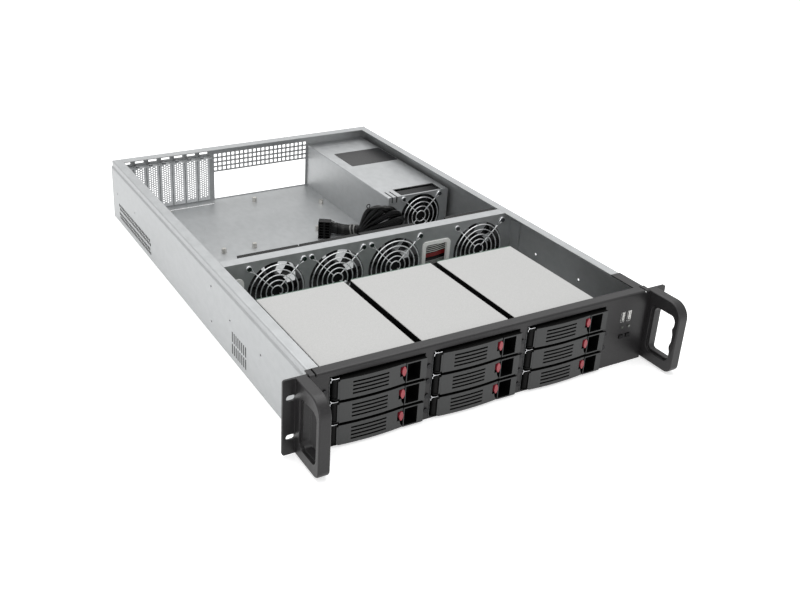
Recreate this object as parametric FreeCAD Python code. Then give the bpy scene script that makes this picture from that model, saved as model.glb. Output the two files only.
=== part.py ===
# Rack server chassis, two units high, with nine hot-swap drive trays.
# Millimetres. X runs to the right seen from the front, Y to the rear, Z up.
# The origin is on the underside, midway between the ears, in the plane of the ears' back faces.
import FreeCAD, Part
import math
import os

V = FreeCAD.Vector
os.makedirs("parts", exist_ok=True)

# The rack sets the width by its hole span and the height by its unit
RACK_HOLE_SPAN = 465.1
RACK_UNIT = 44.45
EAR_EDGE = 8.75
RACK_W = RACK_HOLE_SPAN + 2 * EAR_EDGE
BODY_SHY_W = 35.1
BODY_SHY_H = 0.9
BODY_W = RACK_HOLE_SPAN - BODY_SHY_W
BODY_H = 2 * RACK_UNIT - BODY_SHY_H
BODY_D = 650.0

# Case and sheet metal
SHEET = 1.2
BEND = 0.8
SEAT = 0.1
OVERCUT = 1.0
OVERLAP = 1.0
WALL_IN = BODY_W / 2 - SHEET
JOGGLE_Z = BODY_H - 10.0
JOGGLE_RISE = 2.5
JOGGLE_IN = 1.8
RIM_IN = 15.0
TAB_DEPTH = 12.0
TAB_Z = (8.0, BODY_H - 14.0)

# Rack ears and handles
EAR_T = 2.5
EAR_Z = (2.0, BODY_H - 1.0)
EAR_ROUND = 3.0
EAR_SLOT_L = 10.0
EAR_SLOT_W = 6.5
HANDLE_T = 13.0
HANDLE_REACH = 46.0
HANDLE_TOP_ROUND = 18.0
HANDLE_LOW_ROUND = 9.0
HANDLE_EDGE = 1.6
GRIP_Z = (17.0, BODY_H - 18.0)
GRIP_BACK = 8.0
GRIP_FRONT = 10.0
GRIP_RIM = 2.6
GRIP_RIM_FRONT = 4.2
GRIP_RIM_DEPTH = 3.0
GRIP_RIM_ROUND = 8.0
GRIP_ROUND = 6.0
GRIP_PLAIN = 4.5
WAVES = 2
WAVE_PITCH = (GRIP_Z[1] - GRIP_Z[0] - 2 * GRIP_PLAIN) / WAVES
WAVE_DEPTH = 2.4
FOOT_T = 5.0
FOOT_IN = 12.0

# Front panel
PANEL_T = 1.5
PANEL_TOP = 12.0
PANEL_NOTCH = (5.5, 2.0, 3.0)
PANEL_Y = -(FOOT_T + PANEL_T)
PANEL_BACK = -FOOT_T
REAR_Y = PANEL_Y + BODY_D
PAN_BACK = REAR_Y - SHEET
BRIDGE_L = 36.5
BRIDGE_IN = 13.0

# Drive bays, three columns of three
COLUMNS = ("left", "centre", "right")
ROWS = ("bottom", "middle", "top")
BAY_MARGIN = 16.8
CONTROLS_W = 59.8
BAY_STEP = (BODY_W - BAY_MARGIN - CONTROLS_W) / len(COLUMNS)
BAY_STRIP = 10.8
BAY_CENTRES = [BAY_MARGIN - BODY_W / 2 + (index + 0.5) * BAY_STEP for index in range(len(COLUMNS))]
TRAY_W = BAY_STEP - BAY_STRIP
BAY_ROOM = 9.1
BAY_PITCH = (BODY_H - BAY_ROOM) / len(ROWS)
TRAY_SPACE = 3.3
TRAY_H = BAY_PITCH - TRAY_SPACE
TRAY_GAP = 0.6
TRAY_LIFT = 0.3
CAGE_T = 0.8
CAGE_D = 170.5
LEDGE_W = 2.6
LEDGE_T = 0.8
LEDGE_Y = (12.0, 150.0)
OPENING_LIP = 0.5

# Connector boards behind the bays
BACKPLANE_IN = 1.0
BACKPLANE_T = 1.6
BACKPLANE_WINDOW_IN = 8.0
BACKPLANE_WINDOW_Z = (14.0, 22.0)
SOCKET_LIFT = 4.0
DRIVE_SOCKET_X = (-34.0, -2.0)
DRIVE_SOCKET_D = 6.0
DRIVE_SOCKET_H = 6.5
CABLE_SOCKET_X = (-26.0, -6.0)
CABLE_SOCKET_D = 11.0
CABLE_SOCKET_H = 8.0

# Tray, measured from its left edge, in its own height
TRAY_BACK = 157.0
TRAY_FLOOR = 1.2
TRAY_RAIL_T = 2.0
TRAY_RAIL_H = 12.0
FRAME_BACK = 8.0
FRAME_FRONT = -3.7
FRAME_T = 1.4
RECESS_U = (TRAY_W - 24.0, TRAY_W)
RECESS_WALL = 1.0
RECESS_RAIL = 1.4
RECESS_POST = 7.5
RECESS_FRONT = -11.0
RECESS_BACK = 6.5
WINDOW_IN = 14.0
WINDOW_U = (WINDOW_IN, TRAY_W - WINDOW_IN)
WINDOW_YS = (20.0, 66.0, 112.0)
WINDOW_L = 36.0
STRUT_U = 47.0
STRUT_W = 2.4

# Lever that closes each tray, a hollow bowed bezel on a pivot
PIVOT_U = 6.5
PIVOT_Y = -4.2
PIVOT_R = 1.3
PIVOT_FIT = 0.05
EAR_R = 5.3
BARREL_R = 4.6
BARREL_FIT = 0.25
LEVER_U = (8.6, TRAY_W - 24.4)
LEVER_Y = (-4.0, -10.4)
BOW = 2.0
LEVER_WALL = 1.8
LEVER_SOLID_END = 8.2
EAR_CLEAR = 0.4
VENT_U = (22.2, TRAY_W - 44.6)
VENT_H = 1.9
VENT_PITCH = 4.3
VENT_ROWS = 4
DENT_R = 9.5
DENT_DEEP = 3.4
DENT_H = 8.5

# Latch that frees the lever
LATCH_W = 4.7
LATCH_H = 10.6
LATCH_RISE = 2.8
LATCH_TIP = 1.4
LATCH_U = TRAY_W - 29.0
LATCH_Y = (-11.5, -6.3)
LATCH_TRAVEL = 2.0
LATCH_FIT = 0.3

# Fan wall
WALL_Y = 243.5
WALL_TOP_D = 15.0
WALL_FOOT_D = 10.0
WALL_END_D = 18.0
WALL_GAP = 0.3
FAN_COUNT = 4
FAN_ROOM_H = 8.0
FAN_ROOM_W = 110.0
FAN_SIZE = min(BODY_H - FAN_ROOM_H, (BODY_W - FAN_ROOM_W) / FAN_COUNT)
FAN_D = 25.0
FAN_Z = BODY_H / 2
FAN_BORE = FAN_SIZE / 2 - 2.0
FAN_HOLES = FAN_SIZE - 8.5
FAN_ROUND = 3.5
PASS_LEFT_X = (17.8 - WALL_IN, 35.8 - WALL_IN)
FAN_LAST_X = WALL_IN - 13.8 - FAN_SIZE / 2
PASS_X = (FAN_LAST_X - FAN_SIZE / 2 - 44.8, FAN_LAST_X - FAN_SIZE / 2 - 7.8)
FAN_FIRST_X = PASS_LEFT_X[1] + 5.0 + FAN_SIZE / 2
FAN_THIRD_X = PASS_X[0] - 3.2 - FAN_SIZE / 2
FAN_XS = (FAN_FIRST_X, FAN_FIRST_X + FAN_SIZE + 2.0, FAN_THIRD_X, FAN_LAST_X)
PASS_Z = (14.0, BODY_H - 22.0)
PASS_ROUND = 5.0
SHOULDER_DROP = 1.5
JOGGLE_CLEAR = 1.0
GROMMET_LIP = 2.6
GROMMET_BITE = 2.4
GROMMET_T = 1.4
GROMMET_ROUND = 6.0
GROMMET_IN_ROUND = 3.0

# Fan parts
HUB_R = 17.0
HUB_D = 18.0
BLADES = 7
BLADE_TIP = FAN_BORE - 1.4
BLADE_T = 1.6
ROOT_TWIST = 48.0
TIP_TWIST = 30.0
BLADE_CHORD_ROOT = 19.0
BLADE_CHORD_TIP = 32.0
BLADE_ROOT_IN = 1.5
SHAFT_R = 1.5
SHAFT_FIT = 0.05
STRUT_D = 3.0
FAN_STRUTS = 4
STRUT_WIDE = 3.0
STRUT_TURN = 20.0
STRUT_BITE = 0.8
ROTOR_GAP = 0.5

# Wire finger guards
WIRE = 1.5
RING_STEP = 6.9
RING_COUNT = 5
RING_IN = 3.0
GUARD_RINGS = [FAN_BORE - RING_IN - index * RING_STEP for index in range(RING_COUNT)]
GUARD_EYE = 3.6

# Power supply
PSU_W = 100.0
PSU_SIDE = 6.2
PSU_X = WALL_IN - PSU_SIDE - PSU_W
PSU_H = BODY_H - 18.0
PSU_D = 256.0
PSU_FRONT = PAN_BACK - PSU_D
PSU_T = 1.0
PSU_FAN_D = 20.0
PSU_FAN_HOLES = PSU_H - 10.0
PSU_BORE = PSU_H / 2 - 2.0
PSU_FAN_X = 54.5
PSU_TIP = PSU_BORE - 1.4
PSU_HUB = 14.0
PSU_RING_IN = 4.4
PSU_RINGS = [PSU_BORE - PSU_RING_IN - index * RING_STEP for index in range(RING_COUNT - 1)]
PSU_EXIT = (10.0, 36.0)
PSU_EXIT_R = 8.0
VENT_X = (22.0, 90.0)
VENT_Y = (2.4, 27.0)
CORNER_SLOTS = 2
CORNER_START = 5.0
CORNER_SLOT_W = 2.2
CORNER_PITCH = 7.4
CORNER_CUT = (22.0, 9.0)
PSU_LIP = 3.0
INLET_W = 27.0
INLET_H = 20.0
INLET_D = 22.0
INLET_IN = 10.0
INLET_LOW = 12.0
INLET_WALL = 2.0
INLET_WELL = 16.0
INLET_BLADES = ((-7.0, -2.0), (0.0, 3.0), (7.0, -2.0))
INLET_BLADE_W = 2.0
INLET_BLADE_H = 4.0
INLET_BLADE_L = 13.0
EXHAUST_X = (8.0, 56.0)
EXHAUST_LOW = 8.0
EXHAUST_ROWS = 10
EXHAUST_PITCH = (PSU_H - 14.0) / EXHAUST_ROWS
EXHAUST_H = 2.8

# Board inside the power supply
POWER_BOARD_X = (6.0, 92.0)
POWER_BOARD_Y = (34.0, 220.0)
POWER_BOARD_T = 1.6
POWER_POST_H = 5.0
POWER_POST_R = 3.0
POWER_POST_IN = 6.0
SINK_XS = (20.0, 66.0)
SINK_Y = (44.0, 168.0)
SINK_T = 3.0
SINK_H = PSU_H - 24.0
SINK_FIN = 7.0
SINK_FIN_T = 1.6
SINK_FINS = 9
COIL_X = (32.0, 58.0)
COIL_Y = (90.0, 126.0)
COIL_H = PSU_H - 38.0
CAN_R = 9.0
CAN_H = PSU_H - 34.0
CAN_PLACES = ((44.0, 56.0), (44.0, 148.0), (80.0, 190.0))

# Rear panel
REAR_TOP = 14.0
REAR_SIDE = 11.0
SLOT_PITCH = 20.32
SLOT_COUNT = 7
SLOT_X = 20.8 - WALL_IN
SLOT_OPEN_W = 13.0
SLOT_Z = (6.0, BODY_H - 17.0)
SLOT_WIN_Z = (BODY_H - 9.5, BODY_H - 5.5)
COVER_W = 18.4
COVER_T = 0.9
COVER_Z = (3.0, BODY_H - 13.0)
COVER_TAB = 10.5
COVER_HOLE = (3.0, 7.4)
COVER_HOLE_PITCH = (6.4, 10.4)
COVER_HOLE_ROWS = 6
IO_X = (SLOT_X + (SLOT_COUNT - 1) * SLOT_PITCH + 17.18, PSU_X - 2.75)
IO_Z = (2.4, BODY_H - 41.15)
GRID_HOLE = 5.0
GRID_PITCH = 7.3
GRID_WEB = GRID_PITCH - GRID_HOLE
GRID_COLUMNS = 22
GRID_ROWS = 4
GRID_Z = IO_Z[1] + 2.35

# Vents and holes in the side walls
HEX_BANDS = (8.5, 21.5)
HEX_Y = PAN_BACK - 170.3
HEX_AF = 4.8
HEX_PITCH = 6.2
HEX_COLUMNS = 23
HEX_ROWS = 2
LOUVRE_Y = 145.0
LOUVRE_COUNT = 8
LOUVRE_PITCH = 5.35
LOUVRE_W = 2.6
LOUVRE_H = 13.0
LOUVRE_ZS = (9.0, 24.5)
WALL_HOLES = ((PAN_BACK - 24.3, 44.4), (PAN_BACK - 105.8, 45.3), (WALL_Y + 3.0, 65.2),
              (WALL_Y + 3.0, 19.0), (190.0, 48.0), (107.0, 49.0))
WALL_HOLE_R = 1.6
FLOOR_SLIT = (10.8 - WALL_IN, 153.8 - WALL_IN, PAN_BACK - 16.3, PAN_BACK - 12.3)

# Front controls
USB_XS = (BODY_W / 2 - 36.8, BODY_W / 2 - 27.4)
USB_Z = (54.6, 67.4)
USB_W = 5.4
USB_T = 0.4
USB_TONGUE = 1.8
USB_OFF = 0.2
USB_SHY = 1.0
USB_IN = 1.2
LED_Z = 48.0
LED_R = 1.5
LED_PROUD = 0.8
BUTTON_XS = (BODY_W / 2 - 35.4, BODY_W / 2 - 25.6)
BUTTON_Z = 36.4
BUTTON_SIZE = (5.6, 4.4)
BUTTON_TRAVEL = 0.8
BUTTON_FIT = 0.2
BUTTON_FLANGE = 1.2
BUTTON_PROUD = 1.2
BUTTON_RIM = 1.0
BUTTON_GAP = 0.3
STEM_R = 1.6
BOARD_X = (BODY_W / 2 - 43.5, BODY_W / 2 - 18.0)
BOARD_Z = (26.0, 72.0)
BOARD_Y = 8.0
BOARD_T = 1.6
SWITCH_D = 4.0
SWITCH_W = 6.0
POST_IN = 2.5
POST_R = 2.2

# Fasteners
HEAD_R = 2.8
HEAD_T = 1.4
THREAD_R = 1.5
THREAD_PAST = 2.0
GUARD_SCREW_L = 9.0
PSU_SCREW_L = 7.0
COVER_SCREW_T = 1.8
COVER_SCREW_X = -5.2
COVER_SCREW_Y = 3.2
STRIP_ZS = (64.5, 47.0, 29.0, 11.5)
RIGHT_STRIP_X = BODY_W / 2 - 60.8
RIGHT_STRIP_ZS = (46.2, 28.3)
LEFT_STRIP = (16.0 - BODY_W / 2, 65.7)
STANDOFF_R = 3.0
STANDOFF_H = 6.5
STANDOFFS = ((144.3 - WALL_IN, PSU_FRONT + 65.7), (98.2 - WALL_IN, PSU_FRONT + 66.2),
             (PSU_X - 67.6, PSU_FRONT + 83.7), (73.8 - WALL_IN, PAN_BACK - 32.3),
             (PSU_X - 107.6, PAN_BACK - 32.3), (PSU_X - 15.6, PAN_BACK - 82.3))

# Power harness, gathered into a tied hank on the floor
PLUG_AT = (PSU_X - 71.0, PSU_FRONT + 55.9)
PLUG_D = 12.0
PLUG_W = 17.4
PLUG_TURN = 56.0
PLUG_ROWS = 6
PLUG_WALL = 1.1
CELL_W = 3.3
CELL_H = 3.0
CELL_PITCH = 4.2
CELL_D = 6.0
CLIP_L = 4.0
CLIP_IN = 2.0
HANK_FLOOR = 0.3
HANK_CHAMFER = 0.5

# Stations of the hank: right of the supply's left side, behind its front, height of the middle over the
# hank's underside, half width, half height, and heading in degrees
HANK_STATIONS = (
    (10.0, -0.1, 35.7, 6.5, 6.5, -90.0),
    (8.0, -13.0, 32.0, 9.0, 21.0, -95.0),
    (-7.0, -14.0, 28.0, 13.0, 28.0, -195.0),
    (-20.0, 10.0, 27.0, 13.0, 27.0, -245.0),
    (-24.6, 36.0, 14.0, 9.0, 14.0, -240.0),
    (-37.0, 51.0, 10.5, 8.5, 10.5, -218.0),
    (-52.0, 62.5, 12.0, 8.0, 12.0, -190.0),
    (-62.5, 65.2, 12.9, 8.0, 12.0, -155.0),
    (-67.59, 60.96, 12.9, 8.0, 12.0, -124.0),
)


def on_xz(y):
    """Place a flat point in the plane across the case at y."""
    return lambda u, v: V(u, y, v)


def on_yz(x):
    """Place a flat point in the plane along the case at x."""
    return lambda u, v: V(x, u, v)


def on_xy(z):
    """Place a flat point in the level plane at z."""
    return lambda u, v: V(u, v, z)


def block(x0, x1, y0, y1, z0, z1):
    return Part.makeBox(x1 - x0, y1 - y0, z1 - z0, V(x0, y0, z0))


def rod_y(x, y0, y1, z, radius):
    return Part.makeCylinder(radius, y1 - y0, V(x, y0, z), V(0, 1, 0))


def rod_z(x, y, z0, z1, radius):
    return Part.makeCylinder(radius, z1 - z0, V(x, y, z0))


def rod_x(x0, x1, y, z, radius):
    return Part.makeCylinder(radius, x1 - x0, V(x0, y, z), V(1, 0, 0))


def weld(solids):
    """Fuse solids and keep the seams between their faces."""
    return solids[0].multiFuse(solids[1:])


def join(solids):
    """Fuse solids and merge the faces that lie in one surface."""
    return weld(solids).removeSplitter()


def cut_out(solid, tools):
    return solid.cut(Part.makeCompound(tools))


def rounded_wire(corners, radii, place):
    """Closed wire through flat corners, each rounded by its own radius (0 leaves it sharp)."""
    starts = []
    middles = []
    ends = []
    for index, corner in enumerate(corners):
        here = V(corner[0], corner[1], 0)
        before = V(corners[index - 1][0], corners[index - 1][1], 0)
        after = V(corners[(index + 1) % len(corners)][0], corners[(index + 1) % len(corners)][1], 0)
        back = (before - here).normalize()
        ahead = (after - here).normalize()
        radius = radii[index]
        half = back.getAngle(ahead) / 2
        reach = radius / math.tan(half)
        bisector = (back + ahead).normalize() if radius else V(0, 0, 0)
        starts.append(here + back * reach)
        ends.append(here + ahead * reach)
        middles.append(here + bisector * (radius / math.sin(half) - radius))
    edges = []
    for index, radius in enumerate(radii):
        start = place(starts[index].x, starts[index].y)
        end = place(ends[index].x, ends[index].y)
        if radius:
            middle = place(middles[index].x, middles[index].y)
            edges.append(Part.Arc(start, middle, end).toShape())
        following = starts[(index + 1) % len(radii)]
        next_start = place(following.x, following.y)
        if end.distanceToPoint(next_start) > 1e-6:
            edges.append(Part.LineSegment(end, next_start).toShape())
    return Part.Wire(edges)


def plate(outer, holes, depth):
    """Flat plate from one outline and its holes, as thick as depth."""
    return Part.makeFace([outer] + holes, "Part::FaceMakerBullseye").extrude(depth)


def rectangle(u0, u1, v0, v1, place, radius=0.0):
    corners = [(u0, v0), (u1, v0), (u1, v1), (u0, v1)]
    return rounded_wire(corners, [radius] * len(corners), place)


def circle(u, v, radius, place):
    """Circle in the plane of place, from three points on it."""
    upper = Part.Arc(place(u - radius, v), place(u, v + radius), place(u + radius, v)).toShape()
    lower = Part.Arc(place(u + radius, v), place(u, v - radius), place(u - radius, v)).toShape()
    return Part.Wire([upper, lower])


def hexagon(u, v, across, place):
    radius = across / math.sqrt(3)
    turns = [math.radians(30 + 60 * index) for index in range(6)]
    points = [place(u + radius * math.cos(turn), v + radius * math.sin(turn)) for turn in turns]
    return Part.makePolygon(points + points[:1])


def folded_sheet(path, thickness, place, depth):
    """Sheet folded along a flat path, lying to the left of it, with true bend radii."""
    steps = [V(path[i + 1][0] - path[i][0], path[i + 1][1] - path[i][1], 0).normalize()
             for i in range(len(path) - 1)]
    normals = [V(-step.y, step.x, 0) for step in steps]
    inner = []
    turns = []
    for index, point in enumerate(path):
        first = normals[max(index - 1, 0)]
        second = normals[min(index, len(normals) - 1)]
        offset = (first + second) * (thickness / (1 + first.dot(second)))
        inner.append((point[0] + offset.x, point[1] + offset.y))
        before = steps[max(index - 1, 0)]
        after = steps[min(index, len(steps) - 1)]
        turns.append(before.x * after.y - before.y * after.x)
    outer_radii = [0 if abs(turn) < 1e-9 else BEND + (thickness if turn > 0 else 0) for turn in turns]
    inner_radii = [0 if abs(turn) < 1e-9 else BEND + (thickness if turn < 0 else 0) for turn in turns]
    corners = list(path) + inner[::-1]
    return plate(rounded_wire(corners, outer_radii + inner_radii[::-1], place), [], depth)


def save(name, shape):
    shape.exportStep("parts/" + name + ".step")


# Places that several parts share
RIM_OUT = BODY_W / 2 - JOGGLE_IN
RIM_EDGE = BODY_W / 2 - RIM_IN
CAGE_IN_Z = SHEET + CAGE_T
CAGE_TOP = CAGE_IN_Z + len(ROWS) * BAY_PITCH + CAGE_T
CAGE_HALF = TRAY_W / 2 + TRAY_GAP + CAGE_T
CAGE_BACK = PANEL_BACK + CAGE_D
WALL_BACK = WALL_Y + SHEET
FAN_BACK = WALL_BACK + FAN_D
PSU_Z = SHEET
PSU_FAN_CX = PSU_X + PSU_FAN_X
PSU_FAN_CZ = PSU_Z + PSU_H / 2


def hex_vent():
    """Two bands of staggered six-sided holes low in the left wall."""
    holes = []
    rise = HEX_PITCH * math.sin(math.radians(60))
    for base in HEX_BANDS:
        for row in range(HEX_ROWS):
            for column in range(HEX_COLUMNS):
                y = HEX_Y + (column + 0.5 * (row % 2)) * HEX_PITCH
                wire = hexagon(y, base + HEX_AF / 2 + row * rise, HEX_AF, on_yz(-BODY_W / 2 - SEAT))
                holes.append(Part.Face(wire).extrude(V(SHEET + 2 * SEAT, 0, 0)))
    return holes


def louvres(side):
    """Two rows of upright slots beside the drive bays."""
    slots = []
    x0 = min(side * WALL_IN, side * BODY_W / 2) - SEAT
    for base in LOUVRE_ZS:
        for index in range(LOUVRE_COUNT):
            y = LOUVRE_Y + index * LOUVRE_PITCH
            slots.append(block(x0, x0 + SHEET + 2 * SEAT, y, y + LOUVRE_W, base, base + LOUVRE_H))
    return slots


def chassis_pan():
    """Floor and both walls in one folded sheet, joggled near the top to take a lid."""
    rim_z = JOGGLE_Z + JOGGLE_RISE
    half = [(BODY_W / 2, 0), (BODY_W / 2, JOGGLE_Z), (RIM_OUT, rim_z), (RIM_OUT, BODY_H), (RIM_EDGE, BODY_H)]
    path = [(-u, v) for u, v in half[::-1]] + half
    pan = folded_sheet(path, SHEET, on_xz(PANEL_BACK), V(0, PAN_BACK - PANEL_BACK, 0))
    wide = BODY_W
    cuts = [block(-wide, wide, PANEL_BACK - OVERCUT, 0, SHEET + BEND, BODY_H + OVERCUT)]
    top_front = PANEL_Y + PANEL_TOP + SEAT
    cuts.append(block(-wide, wide, -OVERCUT, top_front, rim_z - SHEET, BODY_H + OVERCUT))
    bridge_back = top_front + BRIDGE_L + SEAT
    cuts.append(block(RIM_EDGE - OVERCUT, wide, -OVERCUT, bridge_back, rim_z + SHEET, BODY_H + OVERCUT))
    for side in (-1, 1):
        cuts += louvres(side)
        for y, z in WALL_HOLES:
            x0 = min(side * WALL_IN, side * BODY_W / 2) - OVERCUT
            cuts.append(rod_x(x0, x0 + SHEET + 2 * OVERCUT, y, z, WALL_HOLE_R))
    cuts += hex_vent()
    cuts.append(block(*FLOOR_SLIT, -OVERCUT, SHEET + OVERCUT))
    pan = cut_out(pan, cuts)
    tabs = []
    for side in (-1, 1):
        near = min(side * WALL_IN, side * (WALL_IN - TAB_DEPTH))
        tabs.append(block(near, near + TAB_DEPTH, 0, SHEET, TAB_Z[0], TAB_Z[1]))
    return join([pan] + tabs)


def slot_centres():
    return [SLOT_X + index * SLOT_PITCH for index in range(SLOT_COUNT)]


def rear_panel():
    """Back wall with expansion slots, port opening, square-holed grille and the supply's opening."""
    back = on_xz(PAN_BACK)
    half_w = BODY_W / 2
    rim_z = JOGGLE_Z + JOGGLE_RISE
    right = [(half_w, 0), (half_w, JOGGLE_Z), (RIM_OUT, rim_z), (RIM_OUT, BODY_H)]
    corners = right + [(-u, v) for u, v in right[::-1]]
    outline = rounded_wire(corners, [0] * len(corners), back)
    holes = []
    for x in slot_centres():
        holes.append(rectangle(x - SLOT_OPEN_W / 2, x + SLOT_OPEN_W / 2, SLOT_Z[0], SLOT_Z[1], back))
        holes.append(rectangle(x - SLOT_OPEN_W / 2, x + SLOT_OPEN_W / 2, SLOT_WIN_Z[0], SLOT_WIN_Z[1], back))
    holes.append(rectangle(IO_X[0], IO_X[1], IO_Z[0], IO_Z[1], back))
    step = (IO_X[1] - IO_X[0] + GRID_WEB) / GRID_COLUMNS
    for row in range(GRID_ROWS):
        for column in range(GRID_COLUMNS):
            x = IO_X[0] + column * step
            z = GRID_Z + row * GRID_PITCH
            holes.append(rectangle(x, x + step - GRID_WEB, z, z + GRID_HOLE, back))
    holes.append(rectangle(PSU_X + PSU_LIP, PSU_X + PSU_W - PSU_LIP,
                           PSU_Z + PSU_LIP, PSU_Z + PSU_H - PSU_LIP, back))
    wall = plate(outline, holes, V(0, SHEET, 0))
    edge = RIM_EDGE - SEAT
    top = block(-edge, edge, PAN_BACK - REAR_TOP, PAN_BACK, BODY_H - SHEET, BODY_H)
    left_x = -(WALL_IN - SEAT)
    side = block(left_x, left_x + SHEET, PAN_BACK - REAR_SIDE, PAN_BACK, SHEET + 2 * BEND, SLOT_Z[1])
    return join([wall, top, side])


def slot_covers():
    """Seven blanking covers, each a pierced strip with a tab folded forward for its screw."""
    covers = []
    face_y = PAN_BACK - COVER_T
    for x in slot_centres():
        outline = rectangle(x - COVER_W / 2, x + COVER_W / 2, COVER_Z[0], COVER_Z[1], on_xz(face_y))
        holes = []
        first = (SLOT_Z[0] + SLOT_Z[1] - (COVER_HOLE_ROWS - 1) * COVER_HOLE_PITCH[1]) / 2
        for row in range(COVER_HOLE_ROWS):
            z = first + row * COVER_HOLE_PITCH[1]
            for side in (-0.5, 0.5):
                centre = x + side * COVER_HOLE_PITCH[0]
                holes.append(rectangle(centre - COVER_HOLE[0] / 2, centre + COVER_HOLE[0] / 2,
                                       z - COVER_HOLE[1] / 2, z + COVER_HOLE[1] / 2, on_xz(face_y)))
        strip = plate(outline, holes, V(0, COVER_T, 0))
        tab = block(x - COVER_W / 2, x + COVER_W / 2, face_y - COVER_TAB, PAN_BACK,
                    COVER_Z[1] - COVER_T, COVER_Z[1])
        covers.append(join([strip, tab]))
    return Part.makeCompound(covers)


def panel_screw_places():
    """Screw centres on the front panel: the strips beside the bays."""
    strip_x = (BAY_CENTRES[0] + BAY_CENTRES[1]) / 2
    strip2_x = (BAY_CENTRES[1] + BAY_CENTRES[2]) / 2
    places = [(strip_x, z) for z in STRIP_ZS] + [(strip2_x, z) for z in STRIP_ZS]
    places += [(RIGHT_STRIP_X, z) for z in RIGHT_STRIP_ZS]
    return places + [LEFT_STRIP]


def front_panel():
    """Black folded front: face, top flange, bay openings, control cut-outs and a bridge to the rim."""
    half = BODY_W / 2 - SEAT
    path = [(PANEL_Y + PANEL_TOP, BODY_H), (PANEL_Y, BODY_H), (PANEL_Y, 0)]
    panel = folded_sheet(path, PANEL_T, on_yz(-half), V(2 * half, 0, 0))
    y0 = PANEL_Y - OVERCUT
    y1 = PANEL_BACK + OVERCUT
    cuts = []
    for centre in BAY_CENTRES:
        reach = TRAY_W / 2 + OPENING_LIP
        cuts.append(block(centre - reach, centre + reach, y0, y1, CAGE_IN_Z, CAGE_TOP - CAGE_T))
    notch_in, notch_w, notch_h = PANEL_NOTCH
    for x in (notch_in - half, half - notch_in - notch_w):
        cuts.append(block(x, x + notch_w, y0, PANEL_Y + PANEL_TOP + OVERCUT, BODY_H - notch_h, BODY_H + OVERCUT))
    reach = USB_W / 2 + SEAT
    for x in USB_XS:
        cuts.append(block(x - reach, x + reach, y0, y1, USB_Z[0] - SEAT, USB_Z[1] + SEAT))
    for x in BUTTON_XS:
        wide = BUTTON_SIZE[0] / 2 + BUTTON_FIT
        tall = BUTTON_SIZE[1] / 2 + BUTTON_FIT
        cuts.append(block(x - wide, x + wide, y0, y1, BUTTON_Z - tall, BUTTON_Z + tall))
        cuts.append(rod_y(x, y0, y1, LED_Z, LED_R + SEAT))
    for x, z in panel_screw_places():
        cuts.append(rod_y(x, y0, y1, z, THREAD_R + SEAT))
    panel = cut_out(panel, cuts)
    rim_z = JOGGLE_Z + JOGGLE_RISE
    y_start = PANEL_Y + PANEL_TOP - SEAT
    y_end = PANEL_Y + PANEL_TOP + BRIDGE_L
    outer = RIM_OUT - SEAT
    bridge_top = block(outer - BRIDGE_IN, outer, y_start, y_end, BODY_H - PANEL_T, BODY_H)
    bridge_side = block(outer - PANEL_T, outer, y_start, y_end, rim_z + SHEET + SEAT, BODY_H)
    return join([panel, bridge_top, bridge_side])


def grip_wire(place):
    """Closed wire of the finger opening, with smooth finger waves on its front side."""
    back = PANEL_Y - GRIP_BACK
    crest = PANEL_Y - HANDLE_REACH + GRIP_FRONT
    valley = crest - WAVE_DEPTH
    low, high = GRIP_Z
    foot = low + GRIP_PLAIN
    wave = []
    for index in range(2 * WAVES + 1):
        wave.append(place(crest if index % 2 else valley, foot + index * WAVE_PITCH / 2))
    curve = Part.BSplineCurve()
    curve.interpolate(Points=wave, InitialTangent=V(0, 0, 1), FinalTangent=V(0, 0, 1))
    edges = [curve.toShape()]
    small = GRIP_PLAIN
    large = GRIP_ROUND
    near = 1 - math.sqrt(0.5)
    edges.append(Part.Arc(wave[-1], place(valley + small * near, high - small * near),
                          place(valley + small, high)).toShape())
    edges.append(Part.LineSegment(place(valley + small, high), place(back - large, high)).toShape())
    edges.append(Part.Arc(place(back - large, high), place(back - large * near, high - large * near),
                          place(back, high - large)).toShape())
    edges.append(Part.LineSegment(place(back, high - large), place(back, low + large)).toShape())
    edges.append(Part.Arc(place(back, low + large), place(back - large * near, low + large * near),
                          place(back - large, low)).toShape())
    edges.append(Part.LineSegment(place(back - large, low), place(valley + small, low)).toShape())
    edges.append(Part.Arc(place(valley + small, low), place(valley + small * near, low + small * near),
                          wave[0]).toShape())
    return Part.Wire(edges)


def grip_rim(place):
    """Rounded outline of the shallow rim round the finger opening."""
    return rectangle(PANEL_Y - HANDLE_REACH + GRIP_FRONT - GRIP_RIM_FRONT, PANEL_Y - GRIP_BACK + GRIP_RIM,
                     GRIP_Z[0] - GRIP_RIM, GRIP_Z[1] + GRIP_RIM, place, GRIP_RIM_ROUND)


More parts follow.
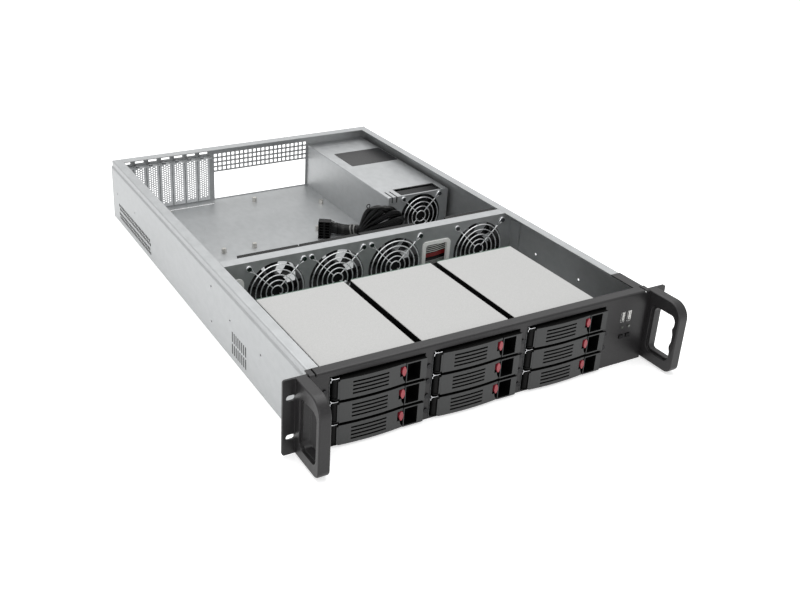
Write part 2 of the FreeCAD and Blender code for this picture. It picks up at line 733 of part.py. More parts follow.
def handle(side):
    """Rack ear, bail handle and mounting foot as one casting; side is -1 for left and 1 for right."""
    inner = BODY_W / 2
    outer = inner + HANDLE_T
    front = PANEL_Y - HANDLE_REACH
    corners = [(-EAR_T, EAR_Z[1]), (front, EAR_Z[1]), (front, EAR_Z[0]), (-EAR_T, EAR_Z[0])]
    radii = [0, HANDLE_TOP_ROUND, HANDLE_LOW_ROUND, 0]
    bail = plate(rounded_wire(corners, radii, on_yz(inner)), [], V(HANDLE_T, 0, 0))
    fronts = [edge for edge in bail.Edges if edge.BoundBox.YMin < front + HANDLE_TOP_ROUND
              and edge.BoundBox.XLength < SEAT]
    bail = bail.makeFillet(HANDLE_EDGE, fronts)
    place = on_yz(inner - OVERCUT)
    opening = Part.Face(grip_wire(place)).extrude(V(HANDLE_T + 2 * OVERCUT, 0, 0))
    rim_in = Part.Face(grip_rim(place)).extrude(V(OVERCUT + GRIP_RIM_DEPTH, 0, 0))
    rim_out = rim_in.copy()
    rim_out.translate(V(HANDLE_T + OVERCUT - GRIP_RIM_DEPTH, 0, 0))
    bail = cut_out(bail, [opening, rim_in, rim_out])
    ear_x = RACK_W / 2
    ear = rounded_wire([(inner, EAR_Z[0]), (ear_x, EAR_Z[0]), (ear_x, EAR_Z[1]), (inner, EAR_Z[1])],
                       [0, EAR_ROUND, EAR_ROUND, 0], on_xz(-EAR_T))
    slots = []
    for z in rack_hole_heights():
        x = RACK_HOLE_SPAN / 2
        slots.append(rectangle(x - EAR_SLOT_L / 2, x + EAR_SLOT_L / 2, z - EAR_SLOT_W / 2,
                               z + EAR_SLOT_W / 2, on_xz(-EAR_T), EAR_SLOT_W / 2))
    ear = plate(ear, slots, V(0, EAR_T, 0))
    foot = block(WALL_IN - FOOT_IN, inner + SEAT, PANEL_BACK, 0, TAB_Z[0] - SEAT, TAB_Z[1])
    neck = block(inner, outer, -EAR_T - SEAT, 0, EAR_Z[0], EAR_Z[1])
    casting = join([bail, neck, foot, ear])
    if side < 0:
        casting = casting.mirror(V(0, 0, 0), V(1, 0, 0))
    return casting


def rack_hole_heights():
    middle = BODY_H / 2
    return (middle - RACK_UNIT / 2, middle + RACK_UNIT / 2)


def drive_cage(centre):
    """Steel box for one column of trays, with a pair of ledges under each upper row."""
    y0 = PANEL_BACK
    outer = rectangle(centre - CAGE_HALF, centre + CAGE_HALF, SHEET, CAGE_TOP, on_xz(y0), BEND + CAGE_T)
    inner = rectangle(centre - CAGE_HALF + CAGE_T, centre + CAGE_HALF - CAGE_T,
                      CAGE_IN_Z, CAGE_TOP - CAGE_T, on_xz(y0), BEND)
    cage = plate(outer, [inner], V(0, CAGE_D, 0))
    ledges = []
    for row in range(1, len(ROWS)):
        top = CAGE_IN_Z + row * BAY_PITCH
        wall = CAGE_HALF - CAGE_T / 2
        ledges.append(block(centre - wall, centre - wall + CAGE_T / 2 + LEDGE_W, LEDGE_Y[0], LEDGE_Y[1],
                            top - LEDGE_T, top))
        ledges.append(block(centre + wall - CAGE_T / 2 - LEDGE_W, centre + wall, LEDGE_Y[0], LEDGE_Y[1],
                            top - LEDGE_T, top))
    return join([cage] + ledges)


def backplanes():
    """One circuit board across the back of each cage, with a drive connector facing every tray."""
    boards = []
    y0 = CAGE_BACK
    y1 = CAGE_BACK + BACKPLANE_T
    for centre in BAY_CENTRES:
        half = CAGE_HALF - BACKPLANE_IN
        window = half - BACKPLANE_WINDOW_IN
        outline = rectangle(centre - half, centre + half, SHEET + SEAT, CAGE_TOP, on_xz(y0))
        holes = []
        sockets = []
        for row in range(len(ROWS)):
            z = CAGE_IN_Z + row * BAY_PITCH
            holes.append(rectangle(centre - window, centre + window, z + BACKPLANE_WINDOW_Z[0],
                                   z + BACKPLANE_WINDOW_Z[1], on_xz(y0)))
            z += SOCKET_LIFT
            sockets.append(block(centre + DRIVE_SOCKET_X[0], centre + DRIVE_SOCKET_X[1],
                                 y0 - DRIVE_SOCKET_D, y0, z, z + DRIVE_SOCKET_H))
            sockets.append(block(centre + CABLE_SOCKET_X[0], centre + CABLE_SOCKET_X[1],
                                 y1, y1 + CABLE_SOCKET_D, z, z + CABLE_SOCKET_H))
        boards.append(join([plate(outline, holes, V(0, BACKPLANE_T, 0))] + sockets))
    return Part.makeCompound(boards)


def tray_master():
    """Drive carrier at the origin of its bay: floor, rails, front frame, pivot ears and finger recess."""
    floor_holes = [rectangle(WINDOW_U[0], WINDOW_U[1], y, y + WINDOW_L, on_xy(0)) for y in WINDOW_YS]
    floor_front = FRAME_BACK - OVERLAP
    outline = rectangle(0, TRAY_W, floor_front, TRAY_BACK, on_xy(0))
    parts = [plate(outline, floor_holes, V(0, 0, TRAY_FLOOR))]
    for u in (0, TRAY_W - TRAY_RAIL_T):
        parts.append(block(u, u + TRAY_RAIL_T, floor_front, TRAY_BACK, 0, TRAY_RAIL_H))
    frame = block(0, TRAY_W, FRAME_FRONT, FRAME_BACK, 0, TRAY_H)
    void = block(FRAME_T, RECESS_U[0], FRAME_FRONT - OVERCUT, FRAME_BACK + OVERCUT,
                 FRAME_T, TRAY_H - FRAME_T)
    parts.append(frame.cut(void))
    parts.append(block(STRUT_U, STRUT_U + STRUT_W, 0, FRAME_BACK, 0, TRAY_H))
    recess = block(RECESS_U[0], RECESS_U[1], RECESS_FRONT, FRAME_BACK, 0, TRAY_H)
    parts.append(recess)
    for h0 in (0, TRAY_H - FRAME_T):
        ear = rod_z(PIVOT_U, PIVOT_Y, h0, h0 + FRAME_T, EAR_R)
        web = block(PIVOT_U - EAR_R, PIVOT_U + EAR_R, PIVOT_Y, FRAME_BACK, h0, h0 + FRAME_T)
        parts += [ear, web]
    tray = join(parts)
    pocket = block(RECESS_U[0] + RECESS_WALL, RECESS_U[1] - RECESS_POST,
                   RECESS_FRONT - OVERCUT, RECESS_BACK, RECESS_RAIL, TRAY_H - RECESS_RAIL)
    bore = rod_z(PIVOT_U, PIVOT_Y, -OVERCUT, TRAY_H + OVERCUT, PIVOT_R + PIVOT_FIT)
    return cut_out(tray, [pocket, bore])


def bow_edge(u0, u1, y_end, rise, place):
    """Arc between two ends at y_end, bowed forward by rise."""
    return Part.Arc(place(u0, y_end), place((u0 + u1) / 2, y_end - rise), place(u1, y_end)).toShape()


def bow_prism(u0, u1, y_back, y_end, rise, h0, h1):
    """Upright prism with a flat back and a front that is an arc of a circle."""
    place = on_xy(h0)
    edges = [bow_edge(u0, u1, y_end, rise, place),
             Part.LineSegment(place(u1, y_end), place(u1, y_back)).toShape(),
             Part.LineSegment(place(u1, y_back), place(u0, y_back)).toShape(),
             Part.LineSegment(place(u0, y_back), place(u0, y_end)).toShape()]
    return Part.Face(Part.Wire(edges)).extrude(V(0, 0, h1 - h0))


def lever_master():
    """Bowed bezel with four vent slots, hollow behind, on a pivot barrel at its left end."""
    u0, u1 = LEVER_U
    shell = bow_prism(u0, u1, LEVER_Y[0], LEVER_Y[1], BOW, 0, TRAY_H)
    hollow = bow_prism(u0 + LEVER_WALL, u1 - LEVER_SOLID_END, LEVER_Y[0] + OVERCUT, LEVER_Y[1] + LEVER_WALL,
                       BOW, LEVER_WALL, TRAY_H - LEVER_WALL)
    cuts = [hollow]
    front = LEVER_Y[1] - BOW - OVERCUT
    first = (TRAY_H - (VENT_ROWS - 1) * VENT_PITCH - VENT_H) / 2
    for row in range(VENT_ROWS):
        h = first + row * VENT_PITCH
        cuts.append(block(VENT_U[0], VENT_U[1], front, LEVER_Y[0] + OVERCUT, h, h + VENT_H))
    low, high = latch_heights()
    cuts.append(block(LATCH_U - LATCH_TRAVEL - LATCH_FIT, u1 + OVERCUT, front,
                      LATCH_Y[1] + LATCH_FIT, low - LATCH_FIT, high + LATCH_FIT))
    dent = rod_y(u1 - DENT_DEEP + DENT_R, front, LEVER_Y[0] + OVERCUT, DENT_H, DENT_R)
    cuts.append(dent.common(block(LEVER_U[0], u1 + OVERCUT, front, LEVER_Y[0] + OVERCUT,
                                  -OVERCUT, low - LATCH_FIT)))
    for h0 in (-OVERCUT, TRAY_H - FRAME_T - BARREL_FIT):
        cuts.append(rod_z(PIVOT_U, PIVOT_Y, h0, h0 + FRAME_T + BARREL_FIT + OVERCUT, EAR_R + EAR_CLEAR))
    shell = cut_out(shell, cuts)
    h0 = FRAME_T + BARREL_FIT
    h1 = TRAY_H - FRAME_T - BARREL_FIT
    barrel = rod_z(PIVOT_U, PIVOT_Y, h0, h1, BARREL_R)
    arm = block(PIVOT_U, u0 + LEVER_WALL, LEVER_Y[1] + SEAT, LEVER_Y[0] - SEAT, h0, h1)
    pin = rod_z(PIVOT_U, PIVOT_Y, SEAT, TRAY_H - SEAT, PIVOT_R)
    return join([shell, barrel, arm, pin])


def latch_heights():
    middle = TRAY_H / 2 + LATCH_RISE
    return middle - LATCH_H / 2, middle + LATCH_H / 2


def latch_master():
    """Red finger latch that slides towards the pivot; both its edges are bowed, like a lens."""
    h0, h1 = latch_heights()
    middle = (h0 + h1) / 2
    u1 = LATCH_U + LATCH_W
    near = (LATCH_U + u1 - LATCH_TIP) / 2
    far = near + LATCH_TIP
    place = on_xz(LATCH_Y[0])
    edges = [Part.LineSegment(place(near, h0), place(far, h0)).toShape(),
             Part.Arc(place(far, h0), place(u1, middle), place(far, h1)).toShape(),
             Part.LineSegment(place(far, h1), place(near, h1)).toShape(),
             Part.Arc(place(near, h1), place(LATCH_U, middle), place(near, h0)).toShape()]
    return Part.Face(Part.Wire(edges)).extrude(V(0, LATCH_Y[1] - LATCH_Y[0], 0))


def drive_bays():
    """Every tray, lever and latch, copied from one master of each."""
    masters = {"tray": tray_master(), "lever": lever_master(), "latch": latch_master()}
    for column, centre in zip(COLUMNS, BAY_CENTRES):
        for row, row_name in enumerate(ROWS):
            corner = V(centre - TRAY_W / 2, 0, CAGE_IN_Z + TRAY_LIFT + row * BAY_PITCH)
            for kind, master in masters.items():
                copy = master.copy()
                copy.translate(corner)
                save(kind + "_" + column + "_" + row_name, copy)


def fan_wall():
    """Cross wall that carries the fans, folded rearward at top and foot and forward at both ends."""
    wide = WALL_IN - WALL_GAP
    top_half = RIM_EDGE - WALL_GAP
    shoulder = BODY_H - SHEET - SHOULDER_DROP
    neck = wide - JOGGLE_IN - JOGGLE_CLEAR
    low = SHEET + 2 * BEND
    place = on_xz(WALL_Y)
    right = [(wide - 2 * BEND, SHEET), (wide, low), (wide, JOGGLE_Z - JOGGLE_CLEAR),
             (neck, JOGGLE_Z + JOGGLE_CLEAR), (neck, shoulder), (top_half, shoulder), (top_half, BODY_H)]
    corners = right + [(-u, v) for u, v in right[::-1]]
    outline = rounded_wire(corners, [0] * len(corners), place)
    holes = []
    for x in FAN_XS:
        holes.append(circle(x, FAN_Z, FAN_BORE, place))
        for dx, dz in corner_signs():
            holes.append(circle(x + dx * FAN_HOLES / 2, FAN_Z + dz * FAN_HOLES / 2, THREAD_R + SEAT, place))
    for x0, x1 in (PASS_X, PASS_LEFT_X):
        holes.append(rectangle(x0, x1, PASS_Z[0], PASS_Z[1], place, PASS_ROUND))
    wall = plate(outline, holes, V(0, SHEET, 0))
    top = block(-top_half, top_half, WALL_Y, WALL_Y + WALL_TOP_D, BODY_H - SHEET, BODY_H)
    foot = block(2 * BEND - wide, wide - 2 * BEND, WALL_Y, WALL_Y + WALL_FOOT_D, SHEET, 2 * SHEET)
    ends = []
    for side in (-1, 1):
        x0 = min(side * wide, side * (wide - SHEET))
        ends.append(block(x0, x0 + SHEET, WALL_Y - WALL_END_D, WALL_Y + SHEET,
                          low, JOGGLE_Z - JOGGLE_CLEAR))
    return join([wall, top, foot] + ends)


def corner_signs():
    return ((-1, -1), (1, -1), (1, 1), (-1, 1))


def cable_grommets():
    """Moulded edging clipped round both cable openings in the fan wall."""
    grommets = []
    for x0, x1 in (PASS_X, PASS_LEFT_X):
        z0, z1 = PASS_Z
        y0 = WALL_Y - GROMMET_T
        outer = rectangle(x0 - GROMMET_LIP, x1 + GROMMET_LIP, z0 - GROMMET_LIP, z1 + GROMMET_LIP,
                          on_xz(y0), GROMMET_ROUND)
        clear = rectangle(x0 + GROMMET_BITE, x1 - GROMMET_BITE, z0 + GROMMET_BITE, z1 - GROMMET_BITE,
                          on_xz(y0), GROMMET_IN_ROUND)
        body = plate(outer, [clear], V(0, SHEET + 2 * GROMMET_T, 0))
        past = GROMMET_LIP + OVERCUT
        groove_out = rectangle(x0 - past, x1 + past, z0 - past, z1 + past, on_xz(WALL_Y))
        groove_in = rectangle(x0 + SEAT / 2, x1 - SEAT / 2, z0 + SEAT / 2, z1 - SEAT / 2,
                              on_xz(WALL_Y), PASS_ROUND)
        groove = plate(groove_out, [groove_in], V(0, SHEET, 0))
        grommets.append(body.cut(groove))
    return Part.makeCompound(grommets)


def fan_frame(x, z, y0, size, depth, bore, hole_span, hub):
    """Square fan housing with a round duct, a hub plate at the back and its struts."""
    outline = rectangle(x - size / 2, x + size / 2, z - size / 2, z + size / 2, on_xz(y0), FAN_ROUND)
    holes = [circle(x, z, bore, on_xz(y0))]
    for dx, dz in corner_signs():
        holes.append(circle(x + dx * hole_span / 2, z + dz * hole_span / 2, THREAD_R + 2 * SEAT, on_xz(y0)))
    frame = plate(outline, holes, V(0, depth, 0))
    y1 = y0 + depth
    parts = [frame, rod_y(x, y1 - STRUT_D, y1, z, hub)]
    for index in range(FAN_STRUTS):
        strut = block(x - STRUT_WIDE / 2, x + STRUT_WIDE / 2, y1 - STRUT_D, y1,
                      z + hub - OVERLAP, z + bore + STRUT_BITE)
        strut.rotate(V(x, 0, z), V(0, 1, 0), STRUT_TURN + index * 360 / FAN_STRUTS)
        parts.append(strut)
    body = join(parts)
    return body.cut(rod_y(x, y1 - STRUT_D - OVERCUT, y1 + OVERCUT, z, SHAFT_R + SHAFT_FIT))


def blade(hub, tip, chord_root, chord_tip):
    """One pitched blade, thinner in angle towards its tip, standing up from the hub."""
    wires = []
    ends = ((hub - BLADE_ROOT_IN, chord_root, ROOT_TWIST), (tip, chord_tip, TIP_TWIST))
    for radius, chord, twist in ends:
        turn = math.radians(twist)
        along = V(math.cos(turn), math.sin(turn), 0)
        across = V(-math.sin(turn), math.cos(turn), 0)
        corners = []
        for sign_along, sign_across in ((-1, -1), (1, -1), (1, 1), (-1, 1)):
            corners.append(along * (sign_along * chord / 2) + across * (sign_across * BLADE_T / 2)
                           + V(0, 0, math.sqrt(radius ** 2 - (chord * math.cos(turn) / 2) ** 2)))
        wires.append(Part.makePolygon(corners + corners[:1]))
    return Part.makeLoft(wires, True, True)


def fan_rotor(x, z, y0, hub, tip, scale):
    """Hub cup with its blades and the shaft that runs in the housing's hub plate."""
    depth = HUB_D * scale
    parts = [rod_y(0, 0, depth, 0, hub)]
    for index in range(BLADES):
        vane = blade(hub, tip, BLADE_CHORD_ROOT * scale, BLADE_CHORD_TIP * scale)
        vane.translate(V(0, depth / 2, 0))
        vane.rotate(V(0, 0, 0), V(0, 1, 0), index * 360 / BLADES)
        parts.append(vane)
    parts.append(rod_y(0, depth - OVERLAP, depth + STRUT_D, 0, SHAFT_R))
    rotor = join(parts)
    rotor.translate(V(x, y0, z))
    return rotor


def finger_guard(x, z, y_seat, rings, hole_span):
    """Wire guard: square-section rings welded to two crossed arms that end in screw eyes."""
    arm_y = y_seat - WIRE
    ring_y = arm_y - WIRE
    parts = []
    for radius in rings:
        ring = plate(circle(x, z, radius + WIRE / 2, on_xz(ring_y)),
                     [circle(x, z, radius - WIRE / 2, on_xz(ring_y))], V(0, WIRE + SEAT, 0))
        parts.append(ring)
    reach = hole_span / math.sqrt(2)
    for index in range(4):
        arm = block(x - WIRE / 2, x + WIRE / 2, arm_y, y_seat,
                    z + rings[-1] - WIRE / 2, z + reach - THREAD_R)
        arm.rotate(V(x, 0, z), V(0, 1, 0), 45 + 90 * index)
        parts.append(arm)
    bores = []
    for dx, dz in corner_signs():
        eye_x = x + dx * hole_span / 2
        eye_z = z + dz * hole_span / 2
        parts.append(rod_y(eye_x, arm_y, y_seat, eye_z, GUARD_EYE))
        bores.append(rod_y(eye_x, arm_y - OVERCUT, y_seat + OVERCUT, eye_z, THREAD_R + SEAT))
    return cut_out(weld(parts), bores)


def psu_case():
    """Power supply housing: shell with fan bore, cable exit, top vent, corner slots and rear cut-outs."""
    x0 = PSU_X
    x1 = PSU_X + PSU_W
    z1 = PSU_Z + PSU_H
    shell = block(x0, x1, PSU_FRONT, PAN_BACK, PSU_Z, z1)
    tops = [edge for edge in shell.Edges if edge.BoundBox.YLength > SEAT and edge.BoundBox.ZMin > z1 - SEAT]
    shell = shell.makeFillet(BEND + PSU_T, tops)
    inner = block(x0 + PSU_T, x1 - PSU_T, PSU_FRONT + PSU_T, PAN_BACK - PSU_T, PSU_Z + PSU_T, z1 - PSU_T)
    cuts = [inner]
    y0 = PSU_FRONT - OVERCUT
    y1 = PSU_FRONT + PSU_T + OVERCUT
    over = z1 + OVERCUT
    cuts.append(rod_y(PSU_FAN_CX, y0, y1, PSU_FAN_CZ, PSU_BORE))
    for dx, dz in corner_signs():
        cuts.append(rod_y(PSU_FAN_CX + dx * PSU_FAN_HOLES / 2, y0, y1,
                          PSU_FAN_CZ + dz * PSU_FAN_HOLES / 2, THREAD_R + SEAT))
    cuts.append(rod_y(x0 + PSU_EXIT[0], y0, y1, PSU_Z + PSU_EXIT[1], PSU_EXIT_R))
    cuts.append(block(x0 + VENT_X[0], x0 + VENT_X[1], PSU_FRONT + VENT_Y[0], PSU_FRONT + VENT_Y[1],
                      z1 - PSU_T - OVERCUT, over))
    for index in range(CORNER_SLOTS):
        x = x0 + CORNER_START + index * CORNER_PITCH
        cuts.append(block(x, x + CORNER_SLOT_W, y0, y1, z1 - CORNER_CUT[1], over))
        cuts.append(block(x, x + CORNER_SLOT_W, y0, PSU_FRONT + CORNER_CUT[0], z1 - PSU_T - OVERCUT, over))
    cuts += psu_rear_cuts()
    return cut_out(shell, cuts)


def psu_rear_cuts():
    """Inlet opening and the exhaust slots in the power supply's back."""
    y0 = PAN_BACK - PSU_T - OVERCUT
    y1 = PAN_BACK + OVERCUT
    x0, x1, z0, z1 = inlet_box()
    cuts = [block(x0, x1, y0, y1, z0, z1)]
    for index in range(EXHAUST_ROWS):
        z = PSU_Z + EXHAUST_LOW + index * EXHAUST_PITCH
        cuts.append(block(PSU_X + EXHAUST_X[0], PSU_X + EXHAUST_X[1], y0, y1, z, z + EXHAUST_H))
    return cuts


def inlet_box():
    x0 = PSU_X + PSU_W - INLET_IN - INLET_W
    z0 = PSU_Z + INLET_LOW
    return x0, x0 + INLET_W, z0, z0 + INLET_H


def psu_inlet():
    """Mains inlet, with three blades in its well."""
    x0, x1, z0, z1 = inlet_box()
    body = block(x0 + SEAT, x1 - SEAT, PAN_BACK - INLET_D, REAR_Y, z0 + SEAT, z1 - SEAT)
    bottom = REAR_Y - INLET_WELL
    well = block(x0 + INLET_WALL, x1 - INLET_WALL, bottom, REAR_Y + OVERCUT,
                 z0 + INLET_WALL, z1 - INLET_WALL)
    cx = (x0 + x1) / 2
    cz = (z0 + z1) / 2
    blades = []
    for dx, dz in INLET_BLADES:
        x = cx + dx - INLET_BLADE_W / 2
        z = cz + dz - INLET_BLADE_H / 2
        blades.append(block(x, x + INLET_BLADE_W, bottom - OVERLAP, bottom + INLET_BLADE_L,
                            z, z + INLET_BLADE_H))
    return join([body.cut(well)] + blades)


def psu_board():
    """Converter board on four posts, with two finned heat sinks, a transformer and three capacitors."""
    floor = PSU_Z + PSU_T
    z0 = floor + POWER_POST_H
    z1 = z0 + POWER_BOARD_T
    x0, x1 = (PSU_X + x for x in POWER_BOARD_X)
    y0, y1 = (PSU_FRONT + y for y in POWER_BOARD_Y)
    parts = [block(x0, x1, y0, y1, z0, z1)]
    for x in (x0 + POWER_POST_IN, x1 - POWER_POST_IN):
        for y in (y0 + POWER_POST_IN, y1 - POWER_POST_IN):
            parts.append(rod_z(x, y, floor, z0, POWER_POST_R))
    sink_y0, sink_y1 = (PSU_FRONT + y for y in SINK_Y)
    fin_pitch = (sink_y1 - sink_y0 - SINK_FIN_T) / (SINK_FINS - 1)
    for sink_x in SINK_XS:
        x = PSU_X + sink_x
        parts.append(block(x, x + SINK_T, sink_y0, sink_y1, z1, z1 + SINK_H))
        for index in range(SINK_FINS):
            y = sink_y0 + index * fin_pitch
            parts.append(block(x - SINK_FIN, x + SINK_T, y, y + SINK_FIN_T, z1, z1 + SINK_H))
    parts.append(block(PSU_X + COIL_X[0], PSU_X + COIL_X[1], PSU_FRONT + COIL_Y[0], PSU_FRONT + COIL_Y[1],
                       z1, z1 + COIL_H))
    for x, y in CAN_PLACES:
        parts.append(rod_z(PSU_X + x, PSU_FRONT + y, z1, z1 + CAN_H, CAN_R))
    return join(parts)


def usb_ports():
    """Two upright ports: folded shells with a contact tongue in each."""
    ports = []
    for x in USB_XS:
        place = on_xz(PANEL_Y)
        outer = rectangle(x - USB_W / 2, x + USB_W / 2, USB_Z[0], USB_Z[1], place)
        half = USB_W / 2 - USB_T
        inner = rectangle(x - half, x + half, USB_Z[0] + USB_T, USB_Z[1] - USB_T, place)
        shell = plate(outer, [inner], V(0, BOARD_Y - PANEL_Y, 0))
        tongue = block(x + USB_OFF, x + USB_OFF + USB_TONGUE, PANEL_Y + USB_SHY, BOARD_Y,
                       USB_Z[0] + USB_IN, USB_Z[1] - USB_IN)
        back = block(x - USB_W / 2, x + USB_W / 2, BOARD_Y - OVERLAP, BOARD_Y, USB_Z[0], USB_Z[1])
        ports.append(join([shell, tongue, back]))
    return Part.makeCompound(ports)


def front_io_board():
    """Circuit board behind the controls, on four posts, with the two tact switches."""
    board = block(BOARD_X[0], BOARD_X[1], BOARD_Y, BOARD_Y + BOARD_T, BOARD_Z[0], BOARD_Z[1])
    parts = [board]
    for x in (BOARD_X[0] + POST_IN, BOARD_X[1] - POST_IN):
        for z in (BOARD_Z[0] + POST_IN, BOARD_Z[1] - POST_IN):
            parts.append(rod_y(x, PANEL_BACK, BOARD_Y, z, POST_R))
    for x in BUTTON_XS:
        parts.append(block(x - SWITCH_W / 2, x + SWITCH_W / 2, BOARD_Y - SWITCH_D, BOARD_Y,
                           BUTTON_Z - SWITCH_W / 2, BUTTON_Z + SWITCH_W / 2))
    return join(parts)


def panel_leds():
    """Two status lamps whose bodies run from the board through the panel."""
    lamps = [rod_y(x, PANEL_Y - LED_PROUD, BOARD_Y, LED_Z, LED_R) for x in BUTTON_XS]
    return Part.makeCompound(lamps)


def push_button(x):
    """Panel button: cap through the panel, flange behind it and a stem towards the switch."""
    wide = BUTTON_SIZE[0] / 2
    tall = BUTTON_SIZE[1] / 2
    y0 = PANEL_BACK + BUTTON_GAP
    y1 = y0 + BUTTON_FLANGE
    cap = block(x - wide, x + wide, PANEL_Y - BUTTON_PROUD, y1, BUTTON_Z - tall, BUTTON_Z + tall)
    wide += BUTTON_RIM
    tall += BUTTON_RIM
    flange = block(x - wide, x + wide, y0, y1, BUTTON_Z - tall, BUTTON_Z + tall)
    stem_end = BOARD_Y - SWITCH_D - BUTTON_TRAVEL - BUTTON_GAP
    stem = rod_y(x, y0, stem_end, BUTTON_Z, STEM_R)
    return join([cap, flange, stem])


def screw_y(x, y, z, length):
    """Screw driven rearward, its head's underside at y."""
    return join([rod_y(x, y - HEAD_T, y, z, HEAD_R), rod_y(x, y - SEAT, y + length, z, THREAD_R)])


def screws():
    """Every visible screw: front panel strips, fan guards, slot covers and power supply fan."""
    heads = [screw_y(x, PANEL_Y, z, PANEL_T + THREAD_PAST) for x, z in panel_screw_places()]
    for x in FAN_XS:
        for dx, dz in corner_signs():
            heads.append(screw_y(x + dx * FAN_HOLES / 2, WALL_Y - WIRE, FAN_Z + dz * FAN_HOLES / 2,
                                 GUARD_SCREW_L))
    for dx, dz in corner_signs():
        heads.append(screw_y(PSU_FAN_CX + dx * PSU_FAN_HOLES / 2, PSU_FRONT - WIRE,
                             PSU_FAN_CZ + dz * PSU_FAN_HOLES / 2, PSU_SCREW_L))
    for x in slot_centres():
        y = PAN_BACK - COVER_TAB + COVER_SCREW_Y
        heads.append(rod_z(x + COVER_SCREW_X, y, COVER_Z[1], COVER_Z[1] + COVER_SCREW_T, HEAD_R))
    return Part.makeCompound(heads)


def standoffs():
    """Six-sided pillars on the floor for a system board."""
    pillars = []
    for x, y in STANDOFFS:
        face = Part.Face(hexagon(x, y, 2 * STANDOFF_R, on_xy(SHEET)))
        pillars.append(face.extrude(V(0, 0, STANDOFF_H)))
    return Part.makeCompound(pillars)


def main_power_plug():
    """Board power plug: two twelve-way halves clipped side by side, lying on the floor, turned to the front."""
    x, middle = PLUG_AT
    x0 = x - PLUG_D / 2
    x1 = x + PLUG_D / 2
    z0 = SHEET + HANK_FLOOR
    z1 = z0 + 2 * PLUG_WALL + (PLUG_ROWS - 1) * CELL_PITCH + CELL_H
    halves = []
    for y0, y1 in ((middle - PLUG_W / 2, middle - SEAT / 2), (middle + SEAT / 2, middle + PLUG_W / 2)):
        cells = []
        for row in range(PLUG_ROWS):
            z = z0 + PLUG_WALL + row * CELL_PITCH
            for y in (y0 + PLUG_WALL, y1 - PLUG_WALL - CELL_W):
                cells.append(block(x0 - OVERCUT, x0 + CELL_D, y, y + CELL_W, z, z + CELL_H))
        halves.append(cut_out(block(x0, x1, y0, y1, z0, z1), cells))
    clip_end = x1 - CLIP_IN
    bridge = block(clip_end - CLIP_L, clip_end, middle - SEAT, middle + SEAT, z0 + CLIP_IN, z1 - CLIP_IN)
    plug = join(halves + [bridge])
    plug.rotate(V(x, middle, 0), V(0, 0, 1), PLUG_TURN)
    return plug


def hank_section(x, y, z, half_w, half_h, heading):
    """Corners of an upright eight-sided section of the hank; heading is its direction in plan."""
    turn = math.radians(heading)
    side = V(-math.sin(turn), math.cos(turn), 0)
    corner = min(half_w, half_h) * HANK_CHAMFER
    flat = [(half_w - corner, -half_h), (half_w, corner - half_h), (half_w, half_h - corner),
            (half_w - corner, half_h)]
    flat += [(-u, v) for u, v in flat[::-1]]
    return [V(x, y, z) + side * u + V(0, 0, v) for u, v in flat]


def skinned(sections):
    """Closed solid through sections of equally many corners, skinned with flat triangles."""
    faces = []
    for near, far in zip(sections[:-1], sections[1:]):
        for index in range(len(near)):
            following = (index + 1) % len(near)
            first = [near[index], near[following], far[following]]
            second = [near[index], far[following], far[index]]
            for corners in (first, second):
                faces.append(Part.Face(Part.makePolygon(corners + corners[:1])))
    for end in (sections[0], sections[-1]):
        faces.append(Part.Face(Part.makePolygon(end + end[:1])))
    solid = Part.makeSolid(Part.makeShell(faces))
    if solid.Volume < 0:
        solid.reverse()
    return solid


def harness_hank():
    """Outer shape of the power harness: out of the supply, folded and tied, then flat to the plug."""
    z0 = SHEET + HANK_FLOOR
    return skinned([hank_section(PSU_X + x, PSU_FRONT + y, z0 + z, half_w, half_h, heading)
                    for x, y, z, half_w, half_h, heading in HANK_STATIONS])


save("chassis_pan", chassis_pan())
save("rear_panel", rear_panel())
save("slot_covers", slot_covers())
save("front_panel", front_panel())
save("handle_left", handle(-1))
save("handle_right", handle(1))
for column_name, bay_centre in zip(COLUMNS, BAY_CENTRES):
    save("drive_cage_" + column_name, drive_cage(bay_centre))
save("backplanes", backplanes())
drive_bays()
save("fan_wall", fan_wall())
save("cable_grommets", cable_grommets())
frames = [fan_frame(x, FAN_Z, WALL_BACK, FAN_SIZE, FAN_D, FAN_BORE, FAN_HOLES, HUB_R) for x in FAN_XS]
save("fan_frames", Part.makeCompound(frames))
for number, x in enumerate(FAN_XS, start=1):
    rotor = fan_rotor(x, FAN_Z, FAN_BACK - STRUT_D - ROTOR_GAP - HUB_D, HUB_R, BLADE_TIP, 1.0)
    save("fan_rotor_" + str(number), rotor)
guards = [finger_guard(x, FAN_Z, WALL_Y, GUARD_RINGS, FAN_HOLES) for x in FAN_XS]
guards.append(finger_guard(PSU_FAN_CX, PSU_FAN_CZ, PSU_FRONT, PSU_RINGS, PSU_FAN_HOLES))
save("finger_guards", Part.makeCompound(guards))
save("psu_case", psu_case())
PSU_FAN_Y = PSU_FRONT + PSU_T
save("psu_fan_frame", fan_frame(PSU_FAN_CX, PSU_FAN_CZ, PSU_FAN_Y, PSU_H - 2 * PSU_T - SEAT, PSU_FAN_D,
                                PSU_BORE, PSU_FAN_HOLES, PSU_HUB))
PSU_SCALE = PSU_TIP / BLADE_TIP
PSU_ROTOR_Y = PSU_FAN_Y + PSU_FAN_D - STRUT_D - ROTOR_GAP - HUB_D * PSU_SCALE
save("psu_rotor", fan_rotor(PSU_FAN_CX, PSU_FAN_CZ, PSU_ROTOR_Y, PSU_HUB, PSU_TIP, PSU_SCALE))
save("psu_inlet", psu_inlet())
save("psu_board", psu_board())
save("usb_ports", usb_ports())
save("front_io_board", front_io_board())
save("panel_leds", panel_leds())
save("power_button", push_button(BUTTON_XS[0]))
save("reset_button", push_button(BUTTON_XS[1]))
save("screws", screws())
save("standoffs", standoffs())
